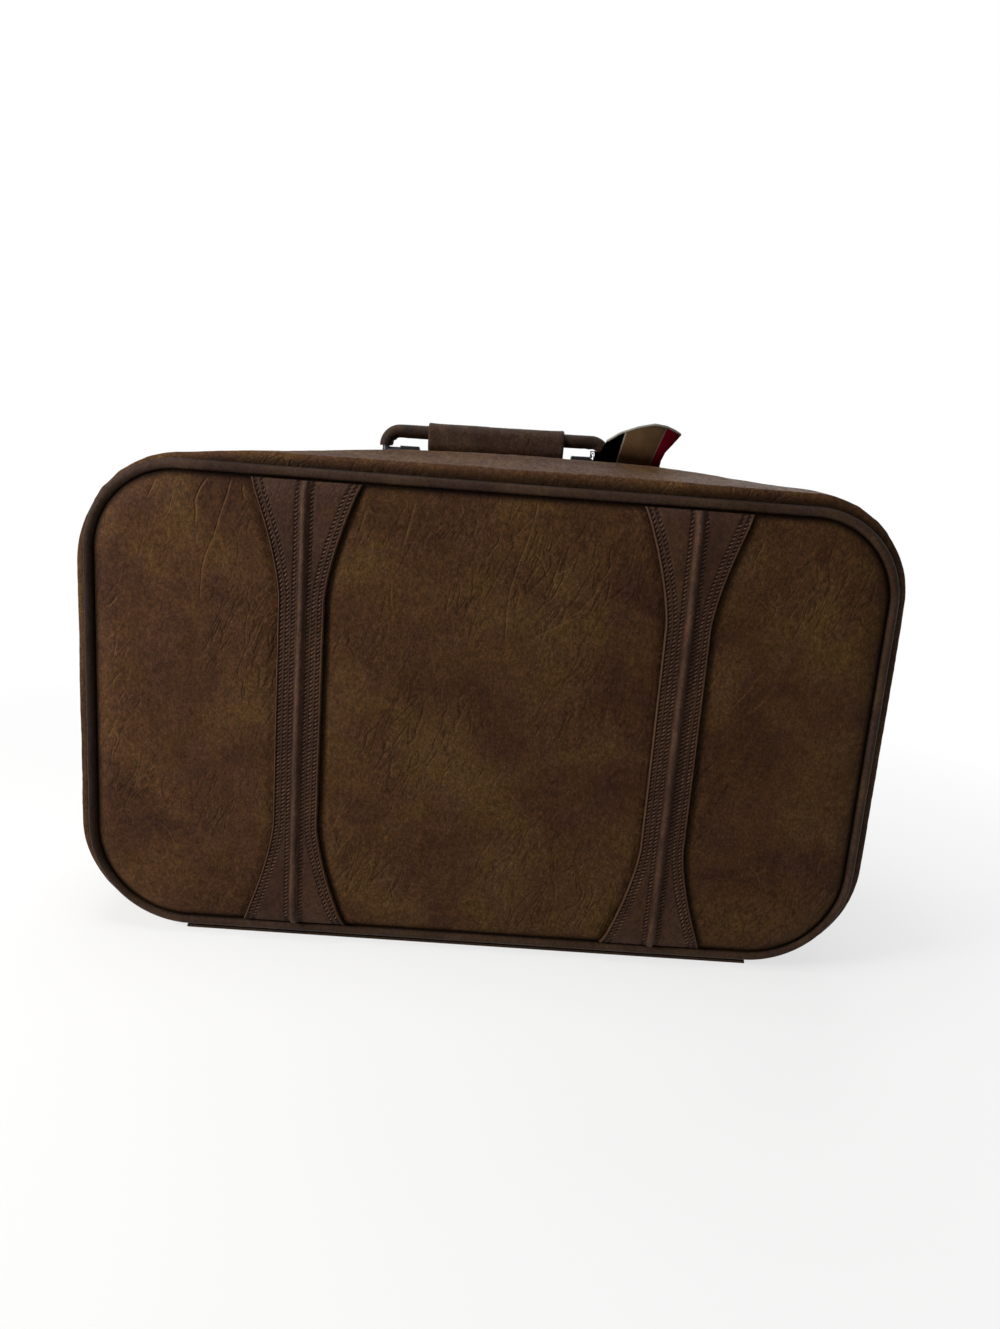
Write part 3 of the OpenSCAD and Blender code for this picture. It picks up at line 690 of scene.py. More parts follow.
# The tag's lines: a place on each in metres, its slope, width and colour, and the next band's
TAG_LINES = [
    (0.0942, 0.3925, 0.217, 0.0012, (150, 144, 134), (102, 79, 56)),
    (0.1214, 0.3930, 0.380, 0.0009, (128, 112, 104), (124, 12, 38)),
]
TAG_SHADE_Z = 0.402
TAG_SHADE_H = 0.033
TAG_SHADING = [
    (0.0, (0.05, 0.04, 0.04)), (0.3, (0.1, 0.08, 0.08)),
    (0.6, (0.6, 0.55, 0.5)), (1.0, (0.9, 0.9, 0.85)),
]

PANEL = vinyl("panel_vinyl", [(54, 34, 23), (68, 46, 29), (78, 57, 33)], shine=0.03, marks=crease_lines)
GUSSET = vinyl(
    "gusset_vinyl", [(62, 40, 26), (76, 52, 33), (88, 64, 38)], 0.62, 1.0, 17.0,
    shine=0.04, fibre=(1, 0.38, 1),
)
STRAP = vinyl(
    "strap_vinyl", [(50, 33, 26), (60, 41, 31), (68, 48, 34)], 0.48, 0.8, 16.0, 0.5, 0.05,
    stitch_holes,
)
CORD = vinyl("cord_vinyl", [(50, 33, 25), (64, 44, 33), (76, 54, 40)], 0.46, 1.0, 30.0, 0.5, 0.1)
PIPING = vinyl("piping_vinyl", [(50, 37, 29), (61, 46, 37), (72, 55, 44)], 0.42, 0.6, 13.0, 0.1, 0.03)
BASE = vinyl("base_vinyl", [(60, 45, 34), (72, 55, 42), (84, 65, 50)], 0.5, 0.6, 13.0, 0.2, 0.08)
COVER = vinyl("cover_vinyl", [(34, 23, 18), (45, 32, 25), (56, 40, 31)], 0.4, 0.9, 40.0, 0.4, 0.08)
GRIP = vinyl("grip_vinyl", [(46, 30, 22), (57, 40, 30), (68, 49, 37)], 0.5, 1.1, 30.0, 1.0, 0.1)
STITCH = vinyl("stitch_vinyl", [(62, 42, 31), (78, 55, 41), (94, 68, 51)], 0.5, 0.5, 60.0, 0.0, 0.12)
LINING = woven("lining_cloth", (178, 158, 126), 900.0)
ELASTIC = woven("elastic", (146, 126, 98), 1300.0)
TAPE = woven("zip_tape", (46, 33, 26), 1600.0, across="Y")
WEBBING = woven("webbing", (44, 38, 34), 1100.0)
BRASS = metal("brass", (176, 148, 84), 0.34, scale=1400.0)
CHROME = metal("chrome", (222, 224, 228), 0.12, scale=500.0, strength=0.05)
STEEL = metal("steel", (150, 152, 156), 0.36, brushed=(0.1, 1, 1))
ROD = metal("rod_steel", (58, 58, 60), 0.38, brushed=(0.1, 1, 1))
BRACKET = metal("bracket_steel", (34, 34, 35), 0.42, scale=700.0)
BOARD = board_material()
TAG = tag_material()
BINDING = metal("tag_binding", (150, 146, 138), 0.5, scale=500.0, strength=0.05, metallic=0.0)

CAD_LOOKS = [
    (BOARD, "back_board", "front_board"),
    (STEEL, "body_frame", "lid_frame"),
    (BRASS, "body_zip_teeth", "lid_zip_teeth"),
    (BRASS, "slider_left", "slider_right", "pull_left", "pull_right"),
    (BASE, "body_base_strip", "lid_base_strip"),
    (CHROME, "tie_clasp", "tag_ring"),
    (BRACKET, "left_handle_bracket", "right_handle_bracket", "handle_rivets"),
    (ROD, "handle_rod"),
    (TAG, "luggage_tag"),
]


def dress_cad_nodes():
    for material, *nodes in CAD_LOOKS:
        for node in nodes:
            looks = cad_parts[node].data.materials
            looks.clear()
            looks.append(material)


# Side walls


def wall_relief(q, y, side):
    """How far the vinyl of the wall stands out of its smooth shape at depth y."""
    rows = points_of(q[:, 4], y * 0.16, 0)
    streaks = ridges(rows, 6.5, 1) * 0.22 + noise(rows, 14.0, 2) * 0.25
    corner = np.abs(q[:, 2] * q[:, 3]) * 2
    puckers = np.maximum(0, noise(rows, 8.0, 3)) * corner * 1.2 * math.exp(-(EDGE_Y - y) / 20)
    soft = noise(points_of(q[:, 4], y, 0), 46.0, 4) * 0.5
    free = 1 - np.maximum(-q[:, 3], 0)
    hem = min(1.0, max(0.0, (y - HEM_Y) / 6))
    relief = (streaks + puckers + soft * hem) * free * (0.35 + 0.65 * hem) - 0.15
    if side == LID:
        middle = np.clip((190 - np.abs(q[:, 0] - 20)) / 90, 0, 1)
        relief += LID_RISE * middle * (q[:, 3] > 0.9) * bell(y - 21, 14)
    return relief - corner_draw(q, y)


def corner_draw(q, y):
    """How far the wall is drawn in near its seam at the top left corner, as worn vinyl is."""
    near = smooth_step((-175 - q[:, 0]) / 70) * smooth_step((q[:, 1] - 285) / 50)
    return CORNER_DRAW * near * (0.18 + 0.82 * smooth_step((y - 30) / 40))


def gusset(side):
    """The wall's skin: out from the seam to the hem, round its fold and back inside."""
    q = FINE
    lip = EDGE_Y - SWELL_DEPTH
    levels = [
        *(EDGE_Y - SWELL_DEPTH * np.linspace(0, 1, 12) ** 2),
        *np.linspace(lip - 1.2, HEM_Y + 1.5, 46),
        *(HEM_Y + 0.6, HEM_Y, HEM_Y - 0.6, SLOT_HALF + 2.0, SLOT_HALF + 1.0),
    ]
    rows = []
    for y in levels:
        seam = 0.45 * bell(y - HEM_Y, 0.7)
        rows.append(wall_ring(q, y, seam - wall_relief(q, y, side)))
    for t in np.linspace(0, 1, 7):
        depth = SLOT_HALF + 0.45 * (1 - math.sin(math.pi * t))
        rows.append(wall_ring(q, depth, 0.3 + (HEM_T - 0.6) * t))
    rows.append(wall_ring(q, HEM_Y, HEM_T + 0.6 * corner_draw(q, HEM_Y)))
    for y in (HEM_Y + 1, 30, 50, EDGE_Y - 6):
        rows.append(wall_ring(q, y, GUSSET_T + 0.6 * corner_draw(q, y)))
    rows.append(ring(q, EDGE_Y - 0.2, 0, 0, GUSSET_T))
    node = HALF[side] + "_gusset"
    made = make_half(side, node + "_skin", looped(rows), GUSSET, "gusset_vinyl", node)
    # Painted shade on the skin: dark at the seam by the piping and at the hem, on the left and right
    # sides near the seam, and on the top away from the seam.
    soil = np.zeros((len(rows), len(q)))
    for row, y in zip(soil, levels):
        seam_shade = 0.9 * bell(EDGE_Y - y, 1.6) + 0.6 * bell(y - HEM_Y, 0.8)
        facing_shade = 0.45 * np.abs(q[:, 2]) * bell(EDGE_Y - y, 30)
        facing_shade += 0.28 * np.maximum(q[:, 3], 0) * (1 - bell(EDGE_Y - y, 22))
        row[:] = np.maximum(seam_shade, facing_shade)
    carry(made, soil=soil)


def piping(side):
    """The bead with its sewn flange, a little uneven like a covered cord."""
    q = FINE
    tail = math.asin(FLANGE_T / 2 / PIPING_R)
    angles = np.linspace(math.pi - tail, tail - math.pi, 30)
    section = []
    for a in angles:
        r = PIPING_R - 0.12 + 0.12 * noise(points_of(q[:, 4], a * 3, 0), 11.0, 5)
        section.append((r * math.cos(a), r * math.sin(a)))
    section += [(-FLANGE_W, -FLANGE_T / 2), (-FLANGE_W, FLANGE_T / 2)]
    rows = []
    for out, up in section:
        x, z = moved_out(q, out)
        rows.append(points_of(x, HALF_DEPTH + up, z))
    node = FACE[side] + "_piping"
    made = make_half(side, node + "_bead", looped(rows), PIPING, "piping_vinyl", node)
    # Painted shade: the bead is darkened on its outer and inner sides, next to the grooves, and along
    # the left side of the case.
    flanks = [*(0.9 * (1 - np.clip((np.abs(np.sin(angles)) - 0.35) / 0.4, 0, 1))), 0, 0]
    left = 0.75 * np.maximum(0, -q[:, 2]) ** 2
    carry(made, soil=np.maximum.outer(flanks, left))


# Padded faces


def face_y(x, z, e):
    """Depth of the smooth padded face, e in from its edge: the edge's roll and a crown."""
    roll = ROLL_H * (1 - (1 - np.clip(e / ROLL_W, 0, 1)) ** 3)
    across, up = x / PANEL_HALF_W, (z - MID_Z) / PANEL_HALF_H
    return PANEL_EDGE_Y + roll + np.maximum(0, PANEL_CROWN * (1 - across**2) * (1 - up**2))


def strap_half(z):
    t = np.maximum(0, 1 - np.minimum(z - STRAP_LOW, STRAP_HIGH - z) / STRAP_FLARE)
    return STRAP_WAIST / 2 + (STRAP_END_W - STRAP_WAIST) / 2 * t**1.5


def soft_relief(x, z, side):
    """The padding's own gentle waves, shared by the face and what is sewn on it."""
    p = flat_points(x, z)
    return (0.45 * noise(p, 70.0, 20 + side) + 0.22 * noise(p, 24.0, 23 + side)).reshape(x.shape)


CREASES = [
    (1.0, [(-210, 357), (-215, 348), (-218, 339), (-217, 329), (-218, 321)]),
    (0.75, [(-193, 359), (-195, 346), (-198, 336), (-201, 327),
            (-205, 314), (-210, 302), (-213, 290), (-214, 267)]),
    (0.6, [(-185, 355), (-184, 348), (-182, 342)]),
    (0.7, [(-247, 354), (-249, 346), (-253, 337)]),
    (0.5, [(-187, 283), (-190, 278), (-192, 272)]),
    (0.7, [(-273, 268), (-279, 261), (-284, 257)]),
    (0.6, [(-271, 211), (-276, 206), (-280, 200)]),
    (0.6, [(-266, 231), (-269, 224), (-271, 218)]),
    (0.5, [(-268, 198), (-272, 192), (-275, 187)]),
    (0.5, [(-256, 192), (-262, 181)]),
    (0.5, [(-60, 353), (-63, 337), (-66, 325), (-69, 315)]),
    (0.4, [(-75, 292), (-75, 273)]),
    (0.4, [(-31, 291), (-33, 278), (-33, 269)]),
    (0.5, [(27, 358), (26, 346), (21, 324), (16, 309), (12, 294), (11, 281), (11, 252)]),
    (0.4, [(65, 278), (46, 267), (31, 259)]),
    (0.4, [(-14, 215), (-23, 205)]),
    (0.5, [(-80, 242), (-85, 232)]),
    (0.5, [(5, 246), (11, 242), (17, 245)]),
    (0.5, [(12, 250), (10, 239)]),
    (0.5, [(20, 244), (13, 239)]),
    (0.5, [(25, 321), (33, 314), (40, 299)]),
    (0.6, [(194, 346), (192, 337), (188, 327), (187, 316)]),
    (0.5, [(176, 249), (171, 241), (166, 229)]),
    (0.4, [(193, 299), (198, 295), (203, 290)]),
    (0.5, [(121, 195), (115, 182)]),
    (0.4, [(243, 354), (242, 348)]),
    (0.4, [(-243, 92), (-236, 84), (-232, 72)]),
    (0.4, [(-70, 66), (-64, 54), (-61, 40)]),
    (0.4, [(62, 72), (66, 60), (66, 47)]),
    (0.5, [(212, 92), (221, 84), (226, 73)]),
]


def crease_values(x, z, mirror):
    """Distance to the side of the nearest crease and how strong it is, at each point."""
    offset = np.full(x.shape, 9.0)
    fade = np.zeros(x.shape)
    nearest = np.full(x.shape, 99.0)
    for depth, corners in CREASES:
        corners = np.array(corners, float) * [mirror, 1]
        s, line = along_line(corners, 40)
        way = unit(np.gradient(line, axis=0))
        wander = 0.5 * noise(flat_points(s, corners[0, 0]), 7.0, 15)
        line += way[:, ::-1] * [-1, 1] * wander[:, None]
        low, high = line.min(axis=0) - 4, line.max(axis=0) + 4
        pick = np.flatnonzero((x > low[0]) & (x < high[0]) & (z > low[1]) & (z < high[1]))
        dx = x[pick, None] - line[:, 0]
        dz = z[pick, None] - line[:, 1]
        away = np.hypot(dx, dz)
        k = away.argmin(axis=1)
        i = np.arange(len(pick))
        near = away[i, k]
        closer = near < nearest[pick]
        taper = np.minimum(1, np.minimum(s[k], s[-1] - s[k]) / 5)
        strength = depth * np.clip(1.3 - near / 3, 0, 1) * taper
        beside = way[k, 0] * dz[i, k] - way[k, 1] * dx[i, k]
        pick = pick[closer]
        offset[pick] = beside[closer]
        fade[pick] = strength[closer]
        nearest[pick] = near[closer]
    return offset, fade


def panel_relief(x, z, e, along, side):
    """How far the face's vinyl stands out: waves, puckers at the rim, creases and strap dents."""
    puckers = noise(points_of(along, e * 0.3, 0), 8.5, 30 + side) * 0.55 * math.exp(-e / 13)
    fine = (ridges(flat_points(x, z) * [1.6, 1, 0.7], 13.0, 32 + side) - 0.3) * 0.16
    relief = soft_relief(x, z, side) + puckers + fine
    offset, fade = crease_values(x, z, -side)
    relief += fade * (0.4 * bell(offset - 2.2, 1.6) - 0.4 * bell(offset, 1.3))
    if side == LID:
        for x0 in STRAP_X.values():
            gap = np.abs(x - x0) - strap_half(z)
            relief -= 1.5 * bell(gap, 3.6) * (gap > 0) + 0.35 * (gap <= 0)
    return relief * (1 - math.exp(-e / 2.5))


def panel(side):
    q = FINE
    along = q[:, 4]
    x, z = moved_out(q, -GROOVE_IN - 1)
    rows = [points_of(x, PANEL_Y, z)]
    edge = ROLL_W * np.linspace(0, 1, 26) ** 1.6
    for e in edge:
        x, z = moved_out(q, -GROOVE_IN - e)
        y = face_y(x, z, e) + panel_relief(x, z, e, along, side)
        rows.append(points_of(x, y, z))
    rim = rows[-1]
    for s in np.linspace(1, 0.01, 110)[1:]:
        row = scaled(rim, s)
        x, z = row[:, 0], row[:, 2]
        e = ROLL_W + (1 - s) * (PANEL_HALF_H - ROLL_W)
        row[:, 1] = face_y(x, z, ROLL_W) + panel_relief(x, z, e, along, side)
        rows.append(row)
    shape = capped(rows, [0, PANEL_Y, MID_Z], rows[-1].mean(axis=0))
    node = FACE[side] + "_panel"
    made = make_half(side, node + "_pad", shape, PANEL, "panel_vinyl", node)

    x, z = shape[0][:, 0], shape[0][:, 2]
    offset, fade = crease_values(x, z, -side)
    # Painted shade: dark in the groove round the face's rim and beside each strap, reaching further on
    # the strap's right, where its shadow falls.
    rim_soil = np.repeat(bell(np.array([0, *edge]), RIM_SHADE_W), len(q))
    soil = np.zeros(len(x))
    soil[: len(rim_soil)] = rim_soil
    if side == LID:
        for x0 in STRAP_X.values():
            gap = np.maximum(0, np.abs(x - x0) - strap_half(z))
            reach = np.where(x > x0, 3.3, 1.2)
            soil = np.maximum(soil, np.exp(-((gap / reach) ** 3)))
    carry(made, crease_offset=offset, crease_fade=fade, soil=soil)


# Straps


def strap_base(x, z):
    """Depth of the face under the straps."""
    return face_y(x, z, PANEL_HALF_H - np.abs(z - MID_Z)) + soft_relief(x, z, LID)


def stitch_columns(half):
    """Distances of the stitched rows from the middle of the strap, where it is half wide."""
    return [*(half - row for row in EDGE_ROWS), np.full_like(half, CORD_ROW)]


def strap_height(u, half):
    """Thickness of the strap at u from its middle: rounded folded edges and sunk stitch rows."""
    inset = half - np.abs(u)
    edge = np.sqrt(np.clip(1 - (1 - np.clip(inset / 1.1, 0, 1)) ** 2, 0, 1))
    height = STRAP_T * (0.35 + 0.65 * edge)
    height += 0.8 * bell(inset - 0.9, 0.7) - 0.25 * bell(inset - 2.0, 0.5)
    for column in stitch_columns(half):
        height -= 0.5 * bell(np.abs(u) - column, 1.3)
    return height


def strap(name):
    z = STRAP_Z
    half = strap_half(z)
    t = np.linspace(-1, 1, 81)
    u = half * np.sign(t) * (1 - (1 - np.abs(t)) ** 1.25)
    x = STRAP_X[name] + u
    ground = strap_base(x, z)
    shape = sheet(x, z, ground + strap_height(u, half), ground + 0.15)
    made = make_half(LID, name + "_vinyl", shape, STRAP, "strap_vinyl", name)
    across = np.hstack([u, u[:, ::-1]])
    carry(made, across=across, inset=half - np.abs(across))


def strap_cord(name):
    """The raised cord down the middle, with the skin that is drawn down on either side."""
    z = STRAP_Z
    u = np.linspace(-CORD_W / 2 - 0.1, CORD_W / 2 + 0.1, 25)
    x = STRAP_X[name] + 0.25 * noise(flat_points(0, z), 90.0, 40)[:, None] + u
    rise = CORD_H * np.clip(1 - (np.abs(u) / (CORD_W / 2 - 0.4)) ** 2.3, 0, 1) ** 0.6
    lumps = 1 + 0.05 * noise(flat_points(x[:, :1], z), 9.0, 41)[:, None]
    ground = strap_base(x, z) + STRAP_T
    front = ground - 0.25 + (1.1 * rise + 0.3 * bell(u, 4.0)) * lumps
    shape = sheet(x, z, front, ground - 0.9)
    make_half(LID, name + "_bead_cord", shape, CORD, "strap_vinyl", name + "_bead")


def stitch_run(centres, ways):
    """Small mounds above the face, one at each centre, turned from the run's direction."""
    rows = [(-1, 0.25, -0.2), (-0.7, 0.8, 0.45), (0, 1, 1), (0.7, 0.8, 0.45), (1, 0.25, -0.2)]
    along, half, rise = np.array(rows).T[:, :, None]
    a = np.radians([0, 45, 90, 135, 180])
    width = half * STITCH_W / 2 * np.cos(a)
    mound = points_of(along * STITCH_L / 2, width, rise * STITCH_H * np.sin(a) - 0.25)
    outward = np.zeros_like(ways) + [0, 1, 0]
    aside = np.cross(ways, outward)
    c, s = math.cos(STITCH_SLANT), math.sin(STITCH_SLANT)
    axes = np.stack([ways * c - aside * s, aside * c + ways * s, outward], axis=1)
    points = centres[:, None] + mound.reshape(-1, 3) @ axes
    under = [0, 5, 10, 15, 20, 24, 19, 14, 9, 4]
    local = [*grid_faces(5, 5), under, [0, 1, 2, 3, 4], [20, 21, 22, 23, 24]]
    faces = [[v + 25 * i for v in face] for i in range(len(centres)) for face in local]
    return points.reshape(-1, 3), faces


def strap_stitching(name):
    first = math.ceil((STRAP_LOW + STITCH_IN) / STITCH_PITCH)
    steps = np.arange(first, int((STRAP_HIGH - STITCH_IN) / STITCH_PITCH))
    centres, ways = [], []
    for flip in (-1, 1):
        for k, shift in enumerate(STITCH_SHIFT):
            z = STITCH_PITCH * (steps + 0.5 - shift)
            x = STRAP_X[name] + flip * stitch_columns(strap_half(z))[k]
            run = points_of(x, strap_base(x, z) + STRAP_T - 0.3, z)
            centres.append(run)
            ways.append(unit(np.gradient(run, axis=0)))
    shape = stitch_run(np.concatenate(centres), np.concatenate(ways))
    make_half(LID, name + "_stitching", shape, STITCH, "strap_vinyl")


# Zip tapes and hinge strip


def zip_tape(side):
    """The tape round the wall, open along the bottom where the base strips lie."""
    wall = wall_ring(FINE, HEM_Y, 0)
    low = PIPING_RISE + BOTTOM_R / 4
    keep = np.flatnonzero((np.abs(wall[:, 0]) >= BASE_X + 1) | (wall[:, 2] >= low))
    q = FINE[keep[0] : keep[-1] + 1]
    front, back = [], []
    for y in np.linspace(TAPE_Y, TAPE_Y + TAPE_W, 14):
        front.append(ring(q, y, 1, arch(HEM_Y), TAPE_IN - 0.25 * bell(y - TAPE_Y, 0.8)))
        back.append(ring(q, y, 1, arch(HEM_Y), TAPE_IN + TAPE_T))
    shape = two_sided(np.stack(front, axis=1), np.stack(back, axis=1))
    node = HALF[side] + "_zip_tape"
    make_half(side, node + "_cloth", shape, TAPE, "zip_tape", node)


def hinge_strip():
    x = box_span("hinge_strip", "x", 200)[:, None]
    y = box_span("hinge_strip", "y", 60)
    low, high = box_span("hinge_strip", "z", 2)
    p = points_of(x * 0.15, y, 0)
    flex = 0.12 * ridges(p.reshape(-1, 3), 2.2, 50).reshape(p.shape[:2])
    shape = two_sided(points_of(x, y, high - flex), points_of(x, y, low))
    made = make("hinge_strip_vinyl", shape, BASE, None, "base_vinyl", "hinge_strip")
    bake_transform(made)


# Inside


def lining(side):
    """A cloth tray: its back against the wall and board, then its inner face with folds."""
    q = COARSE
    lip = EDGE_Y - SWELL_DEPTH
    seed = 60 + side
    floor = ring(q, LINING_FLOOR_Y, 0, 0, BEAD_IN)
    rows = [scaled(floor, k) for k in (0.02, 0.5, 1)]
    rows += [wall_ring(q, y, LINING_IN) for y in (lip, 50, 30, LINING_EDGE_Y)]
    for y in [LINING_EDGE_Y + 0.1, *np.linspace(LINING_EDGE_Y + 3, lip, 26)]:
        folds = 0.9 * ridges(points_of(q[:, 4], y * 0.5, 0), 16.0, seed)
        rows.append(wall_ring(q, y, LINING_IN + LINING_T + folds))
    inner = ring(q, LINING_FLOOR_Y - LINING_T, 0, 0, BEAD_IN + LINING_T)
    for k in [1, *np.linspace(0.985, 0.02, 50)]:
        row = scaled(inner, k)
        row[:, 1] -= 0.8 * ridges(row, 30.0, seed + 1) * (k < 1)
        rows.append(row)
    shape = capped(rows, [0, LINING_FLOOR_Y, MID_Z], rows[-1].mean(axis=0))
    node = HALF[side] + "_lining"
    made = make_half(side, node + "_cloth", shape, LINING, "lining_cloth", node)


def lid_pocket():
    """The gathered pocket, with its lower corners rounded like the case's."""
    r = BOTTOM_R - POCKET_IN
    w = CASE_W / 2 - POCKET_IN
    x = np.linspace(-w, w, 300)[:, None]
    past = np.clip(np.abs(x) - (w - r), 0, r)
    bottom = PIPING_RISE + POCKET_IN + r - np.sqrt(r * r - past * past)
    top = box_span("lid_pocket", "z", 2)[1]
    t = np.linspace(0, 1, 46)
    z = bottom + (top - bottom) * t
    fold = 1.8 * ridges(flat_points(x, 0), 9.0, 70)[:, None] * (0.2 + 0.8 * t**1.5)
    belly = 3.0 * np.sin(math.pi * t) * (1 - (x / w) ** 4)
    y = POCKET_Y + 0.8 - (fold + belly) * np.minimum(1, (w - np.abs(x)) / 6)
    shape = sheet(x, z, y, y + POCKET_CLOTH_T)
    made = make_half(LID, "lid_pocket_cloth", shape, LINING, "lining_cloth", "lid_pocket")


def lid_pocket_elastic():
    node = "lid_pocket_elastic"
    w = box_span(node, "x", 2)[1]
    x = np.linspace(-w, w, 560)[:, None]
    z = box_span(node, "z", 12)
    y = POCKET_Y - 0.9 - 0.75 * np.sin(2 * math.pi * x / 5.2 + 1.3 * np.sin(x / 31)) ** 2
    shape = sheet(x, z, y, y + POCKET_T - 0.8)
    made = make_half(LID, node + "_band", shape, ELASTIC, "elastic", node)


def tie_strap(node):
    x = box_span(node, "x", 130)[:, None]
    z = box_span(node, "z", 26)
    front, back = box_span(node, "y", 2)
    rib = 0.12 * np.sin(2 * math.pi * z / 2.1) ** 2 + 0.1 * np.sin(2 * math.pi * x / 1.9) ** 2
    shape = sheet(x, z, front + rib, back)
    make(node + "_webbing", shape, WEBBING, "case_body", "webbing", node)


# Handle


def handle_lift():
    """Rise of the rod's right bend over its middle, because the handle leans with the arch."""
    return (HANDLE_SPAN / 2 - HANDLE_BEND_R) * math.sin(HANDLE_TILT)


def on_pins(shape):
    """From the handle's own frame, about the middle of its pins, to the case."""
    points, faces = shape
    c, s = math.cos(HANDLE_TILT), math.sin(HANDLE_TILT)
    rod_top = box_span("handle_rod", "z", 2)[1]
    pin_z = rod_top - HANDLE_RISE * c - ROD_R - handle_lift()
    x, y, z = points.T
    return points_of(HANDLE_X + x * c - z * s, ZIP_Y + HANDLE_Y + y, pin_z + x * s + z * c), faces


def handle_path():
    """Points of the covered rod, their directions and how much each one bends."""
    leg = HANDLE_SPAN / 2
    r = HANDLE_BEND_R
    straight = leg - r
    rows = [(-leg, COVER_START, 0, 1, 1)]

    def bend(middle, start):
        for a in np.radians(np.linspace(start, start - 90, 50)):
            c, s = math.cos(a), math.sin(a)
            rows.append((middle + r * c, HANDLE_RISE - r + r * s, s, -c, 1))

    bend(-straight, 180)
    for x in np.linspace(-straight, straight, 150)[1:-1]:
        rows.append((x, HANDLE_RISE, 1, 0, bell(straight - abs(x), 9)))
    bend(straight, 90)
    rows.append((leg, COVER_START, 0, -1, 1))
    return np.array(rows)


def handle_cover():
    """The rolled cover with its seam below, creased inside the bends."""
    path = handle_path()
    angles = np.radians(np.arange(0, 360, 10))
    c, s = np.cos(angles), np.sin(angles)
    seam = 0.3 * bell((angles - math.radians(262)) * COVER_R, 0.9)
    outer, inner = [], []
    for (x, z, way_x, way_z, bend), along in zip(path, lengths(path[:, :2])):
        p = points_of(along, c * 3, s * 3)
        folds = (ridges(p * [1, 0.3, 0.3], 3.6, 80) - 0.5) * 0.7 * bend * np.clip(-s, 0, 1)
        skin = COVER_R - 0.2 + folds + 0.1 * noise(p, 7.0, 81) + seam
        for rows, r in ((outer, skin), (inner, CORE_R)):
            rows.append(points_of(x - way_z * r * s, r * c, z + way_x * r * s))
    shape = on_pins(looped(outer + inner[::-1]))
    make("handle_cover_vinyl", shape, COVER, "handle", "cover_vinyl", "handle_cover")


def handle_grip():
    """The wrapped sleeve: square ends, a hollowed top line and a deeper lower edge."""
    ends = np.array([0.985, 0.997, 1])
    x = np.concatenate([-ends[::-1], np.linspace(-0.96, 0.96, 120), ends]) * GRIP_L / 2
    angles = 2 * math.pi * np.arange(64) / 64
    c, s = np.cos(angles), np.sin(angles)
    outer, inner = [], []
    for place in x:
        end = GRIP_L / 2 - abs(place)
        rounding = -0.8 * max(0.0, 1 - end / 0.9) ** 2
        k = 1 + (0.5 * bell(end, 6.0) - 0.35 + rounding) / (GRIP_W / 2)
        y = GRIP_W / 2 * c * k
        z = GRIP_W / 2 * s - (GRIP_H - GRIP_W) * (angles > math.pi)
        z = np.where(z > 0, z * k, z - (GRIP_FALL + rounding * 0.6) * (z < -6))
        p = points_of(place, y, z)
        wrinkle = 0.16 * noise(p * [0.4, 1, 1], 7.0, 90) + 0.1 * noise(p, 3.0, 91)
        k = 1 + wrinkle / np.hypot(y, z)
        outer.append(points_of(place, y * k, HANDLE_RISE + z * k))
        inner.append(points_of(place, BORE_R * c, HANDLE_RISE + BORE_R * s))
    shape = on_pins(looped(outer + inner[::-1]))
    make("handle_grip_sleeve", shape, GRIP, "handle", "grip_vinyl", "handle_grip")


# Luggage tag


def tag_eye():
    """Where the tag hangs, on the middle of the ring's wire."""
    low, high = (np.array(corner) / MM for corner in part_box("tag_ring"))
    r = (high[2] - low[2]) / 2 - TAG_RING_WIRE / 2
    c, s = math.cos(TAG_RING_TURN), math.sin(TAG_RING_TURN)
    return (low + high) / 2 + [0, -r * s, r * c]


def tag_sheet(x, off):
    """Depth of the curled sheet at x from its eye, off to the outside of its middle."""
    return TAG_CURL_Y - np.sqrt((TAG_CURL_R + off) ** 2 - (x - TAG_CURL_X) ** 2)


def smooth_line(corners, count):
    """A curve through the corners, rounded a little between them."""
    line = along_line(corners, 400)[1]
    for _ in range(60):
        line[1:-1] = (line[:-2] + 2 * line[1:-1] + line[2:]) / 4
    return line[np.linspace(0, 399, count).round().astype(int)]


def tag_leaf():
    """The curled tag past its slot, with the CAD eye end kept."""
    x, top = smooth_line(TAG_TOP, 90).T[:, :, None]
    low = np.interp(x, *np.array(TAG_END).T)
    z = low + (top - low) * np.linspace(0, 1, 30)
    wave = noise(flat_points(x, z), 26.0, 95).reshape(z.shape)
    wave *= 0.25 * np.clip((x - 6) / 12, 0, 1)
    edge = np.clip(np.minimum(z - low, top - z) / 0.5, 0, 1)
    half = TAG_T / 2 * np.sqrt(0.15 + 0.85 * edge)
    points, faces = sheet(x, z, tag_sheet(x, half) + wave, tag_sheet(x, -half) + wave)
    make("luggage_tag_sheet", (points + tag_eye(), faces), TAG, "tag", "tag_vinyl")


def tag_binding():
    """The pale cord bound round the tag's top edge, with its ends drawn in."""
    x, z = smooth_line(TAG_TOP[1:], 80).T
    path = points_of(x, tag_sheet(x, 0.0), z + 0.1)
    out = unit(points_of(x - TAG_CURL_X, path[:, 1] - TAG_CURL_Y, 0))
    up = np.cross(unit(np.gradient(path, axis=0)), out)
    path += tag_eye()
    place = np.arange(len(path))
    ends = np.minimum(1.0, (np.minimum(place, place[::-1]) + 0.6) / 2)
    a = np.radians(np.arange(0, 360, 30))[:, None]
    rows = []
    for p, o, u, end in zip(path, out, up, ends):
        rows.append(p + end * (1.1 * o * np.cos(a) + 1.15 * u * np.sin(a)))
    make("tag_edge_binding", capped(rows, path[0], path[-1]), BINDING, "tag", "tag_vinyl")


# Floor, light and camera


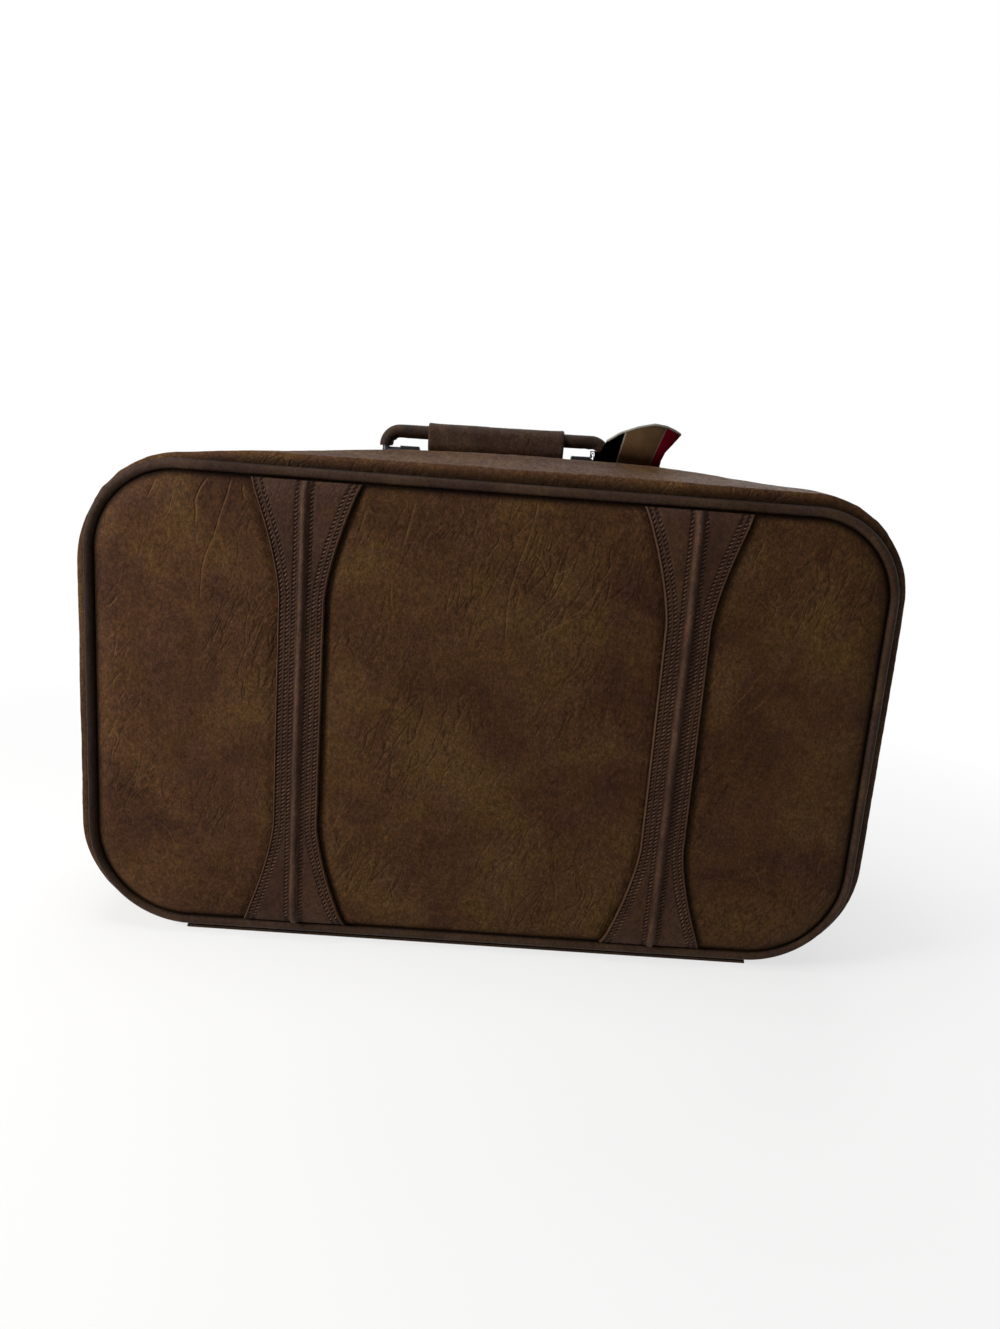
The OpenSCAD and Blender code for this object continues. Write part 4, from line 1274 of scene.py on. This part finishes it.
def camera():
    data = bpy.data.cameras.new("camera")
    data.sensor_width = SENSOR
    data.lens = FOCAL_PIXELS / PICTURE_HEIGHT * SENSOR
    data.clip_start, data.clip_end = 0.05, 60
    made = add_object("camera", data)
    turn = (
        Matrix.Rotation(CAMERA_ROLL, 3, "Z")
        @ Matrix.Rotation(CAMERA_DOWN, 3, "X")
        @ Matrix.Rotation(CAMERA_ASIDE, 3, "Y")
    )
    seen = Matrix(((1, 0, 0), (0, 0, -1), (0, 1, 0)))
    flip = Matrix(((1, 0, 0), (0, -1, 0), (0, 0, -1)))
    made.matrix_world = (flip @ turn @ seen).transposed().to_4x4()
    made.location = [c * MM for c in CAMERA_PLACE]
    bpy.context.scene.camera = made


def lamp(name, place, aim, size, power, colour=(1, 1, 1)):
    data = bpy.data.lights.new(name, "AREA")
    data.size, data.energy, data.color = size, power, colour
    made = add_object(name, data)
    made.location = place
    made.rotation_mode = "QUATERNION"
    made.rotation_quaternion = (Vector(aim) - Vector(place)).to_track_quat("-Z", "Y")


def white_to_the_camera(net, kind, share, output):
    """Shows plain white, by this share, to the camera and in reflections."""
    path = net.add("LightPath").outputs
    seen = net.maths("MAXIMUM", path["Is Camera Ray"], path["Is Glossy Ray"])
    seen = net.maths("MAXIMUM", seen, path["Is Transmission Ray"])
    white = net.add(kind, {"Color": (1, 1, 1), "Strength": 1.0}).outputs[0]
    inputs = {0: net.times(seen, share), 1: net.shader.outputs[0], 2: white}
    mix = net.add("MixShader", inputs)
    net.feed(net.nodes[output].inputs["Surface"], mix.outputs[0])


def surroundings():
    world = bpy.data.worlds.new("studio")
    bpy.context.scene.world = world
    world.use_nodes = True
    net = Net(world.node_tree, "Background")
    net.give("Color", (0.92, 0.95, 1.0))
    net.give("Strength", 0.13)
    white_to_the_camera(net, "Background", 1.0, "World Output")

    mesh = bpy.data.meshes.new("floor")
    reach = 20.0
    corners = [(-reach, -reach, 0), (reach, -reach, 0), (reach, reach, 0), (-reach, reach, 0)]
    mesh.from_pydata(corners, [], [(0, 1, 2, 3)])
    add_object("floor", mesh)
    material, net = new_material("floor", 0.9, specular=0.1)
    net.give("Base Color", (0.9, 0.9, 0.9))
    away = net.add("VectorMath", {0: net.place()}, operation="LENGTH").outputs["Value"]
    share = net.ramp(away, (0.3, 0.7), (1.0, 1.0))
    white_to_the_camera(net, "Emission", share, "Material Output")
    mesh.materials.append(material)

    lamp("key", (-1.15, -0.66, 0.62), (0, 0, 0.2), 0.4, 17.0, (1.0, 0.97, 0.93))
    lamp("top", (-0.3, -0.1, 1.5), (0, 0, 0.3), 0.7, 9.0)
    lamp("behind", (0.4, 1.6, 0.9), (0, 0, 0.2), 1.4, 14.0)


dress_cad_nodes()
for half in (BODY, LID):
    gusset(half)
    piping(half)
    panel(half)
    zip_tape(half)
    lining(half)
for strap_name in STRAP_X:
    strap(strap_name)
    strap_cord(strap_name)
    strap_stitching(strap_name)
hinge_strip()
lid_pocket()
lid_pocket_elastic()
tie_strap("tie_strap_left")
tie_strap("tie_strap_right")
handle_cover()
handle_grip()
tag_leaf()
tag_binding()
camera()
surroundings()
bpy.context.scene.view_settings.view_transform = "Standard"
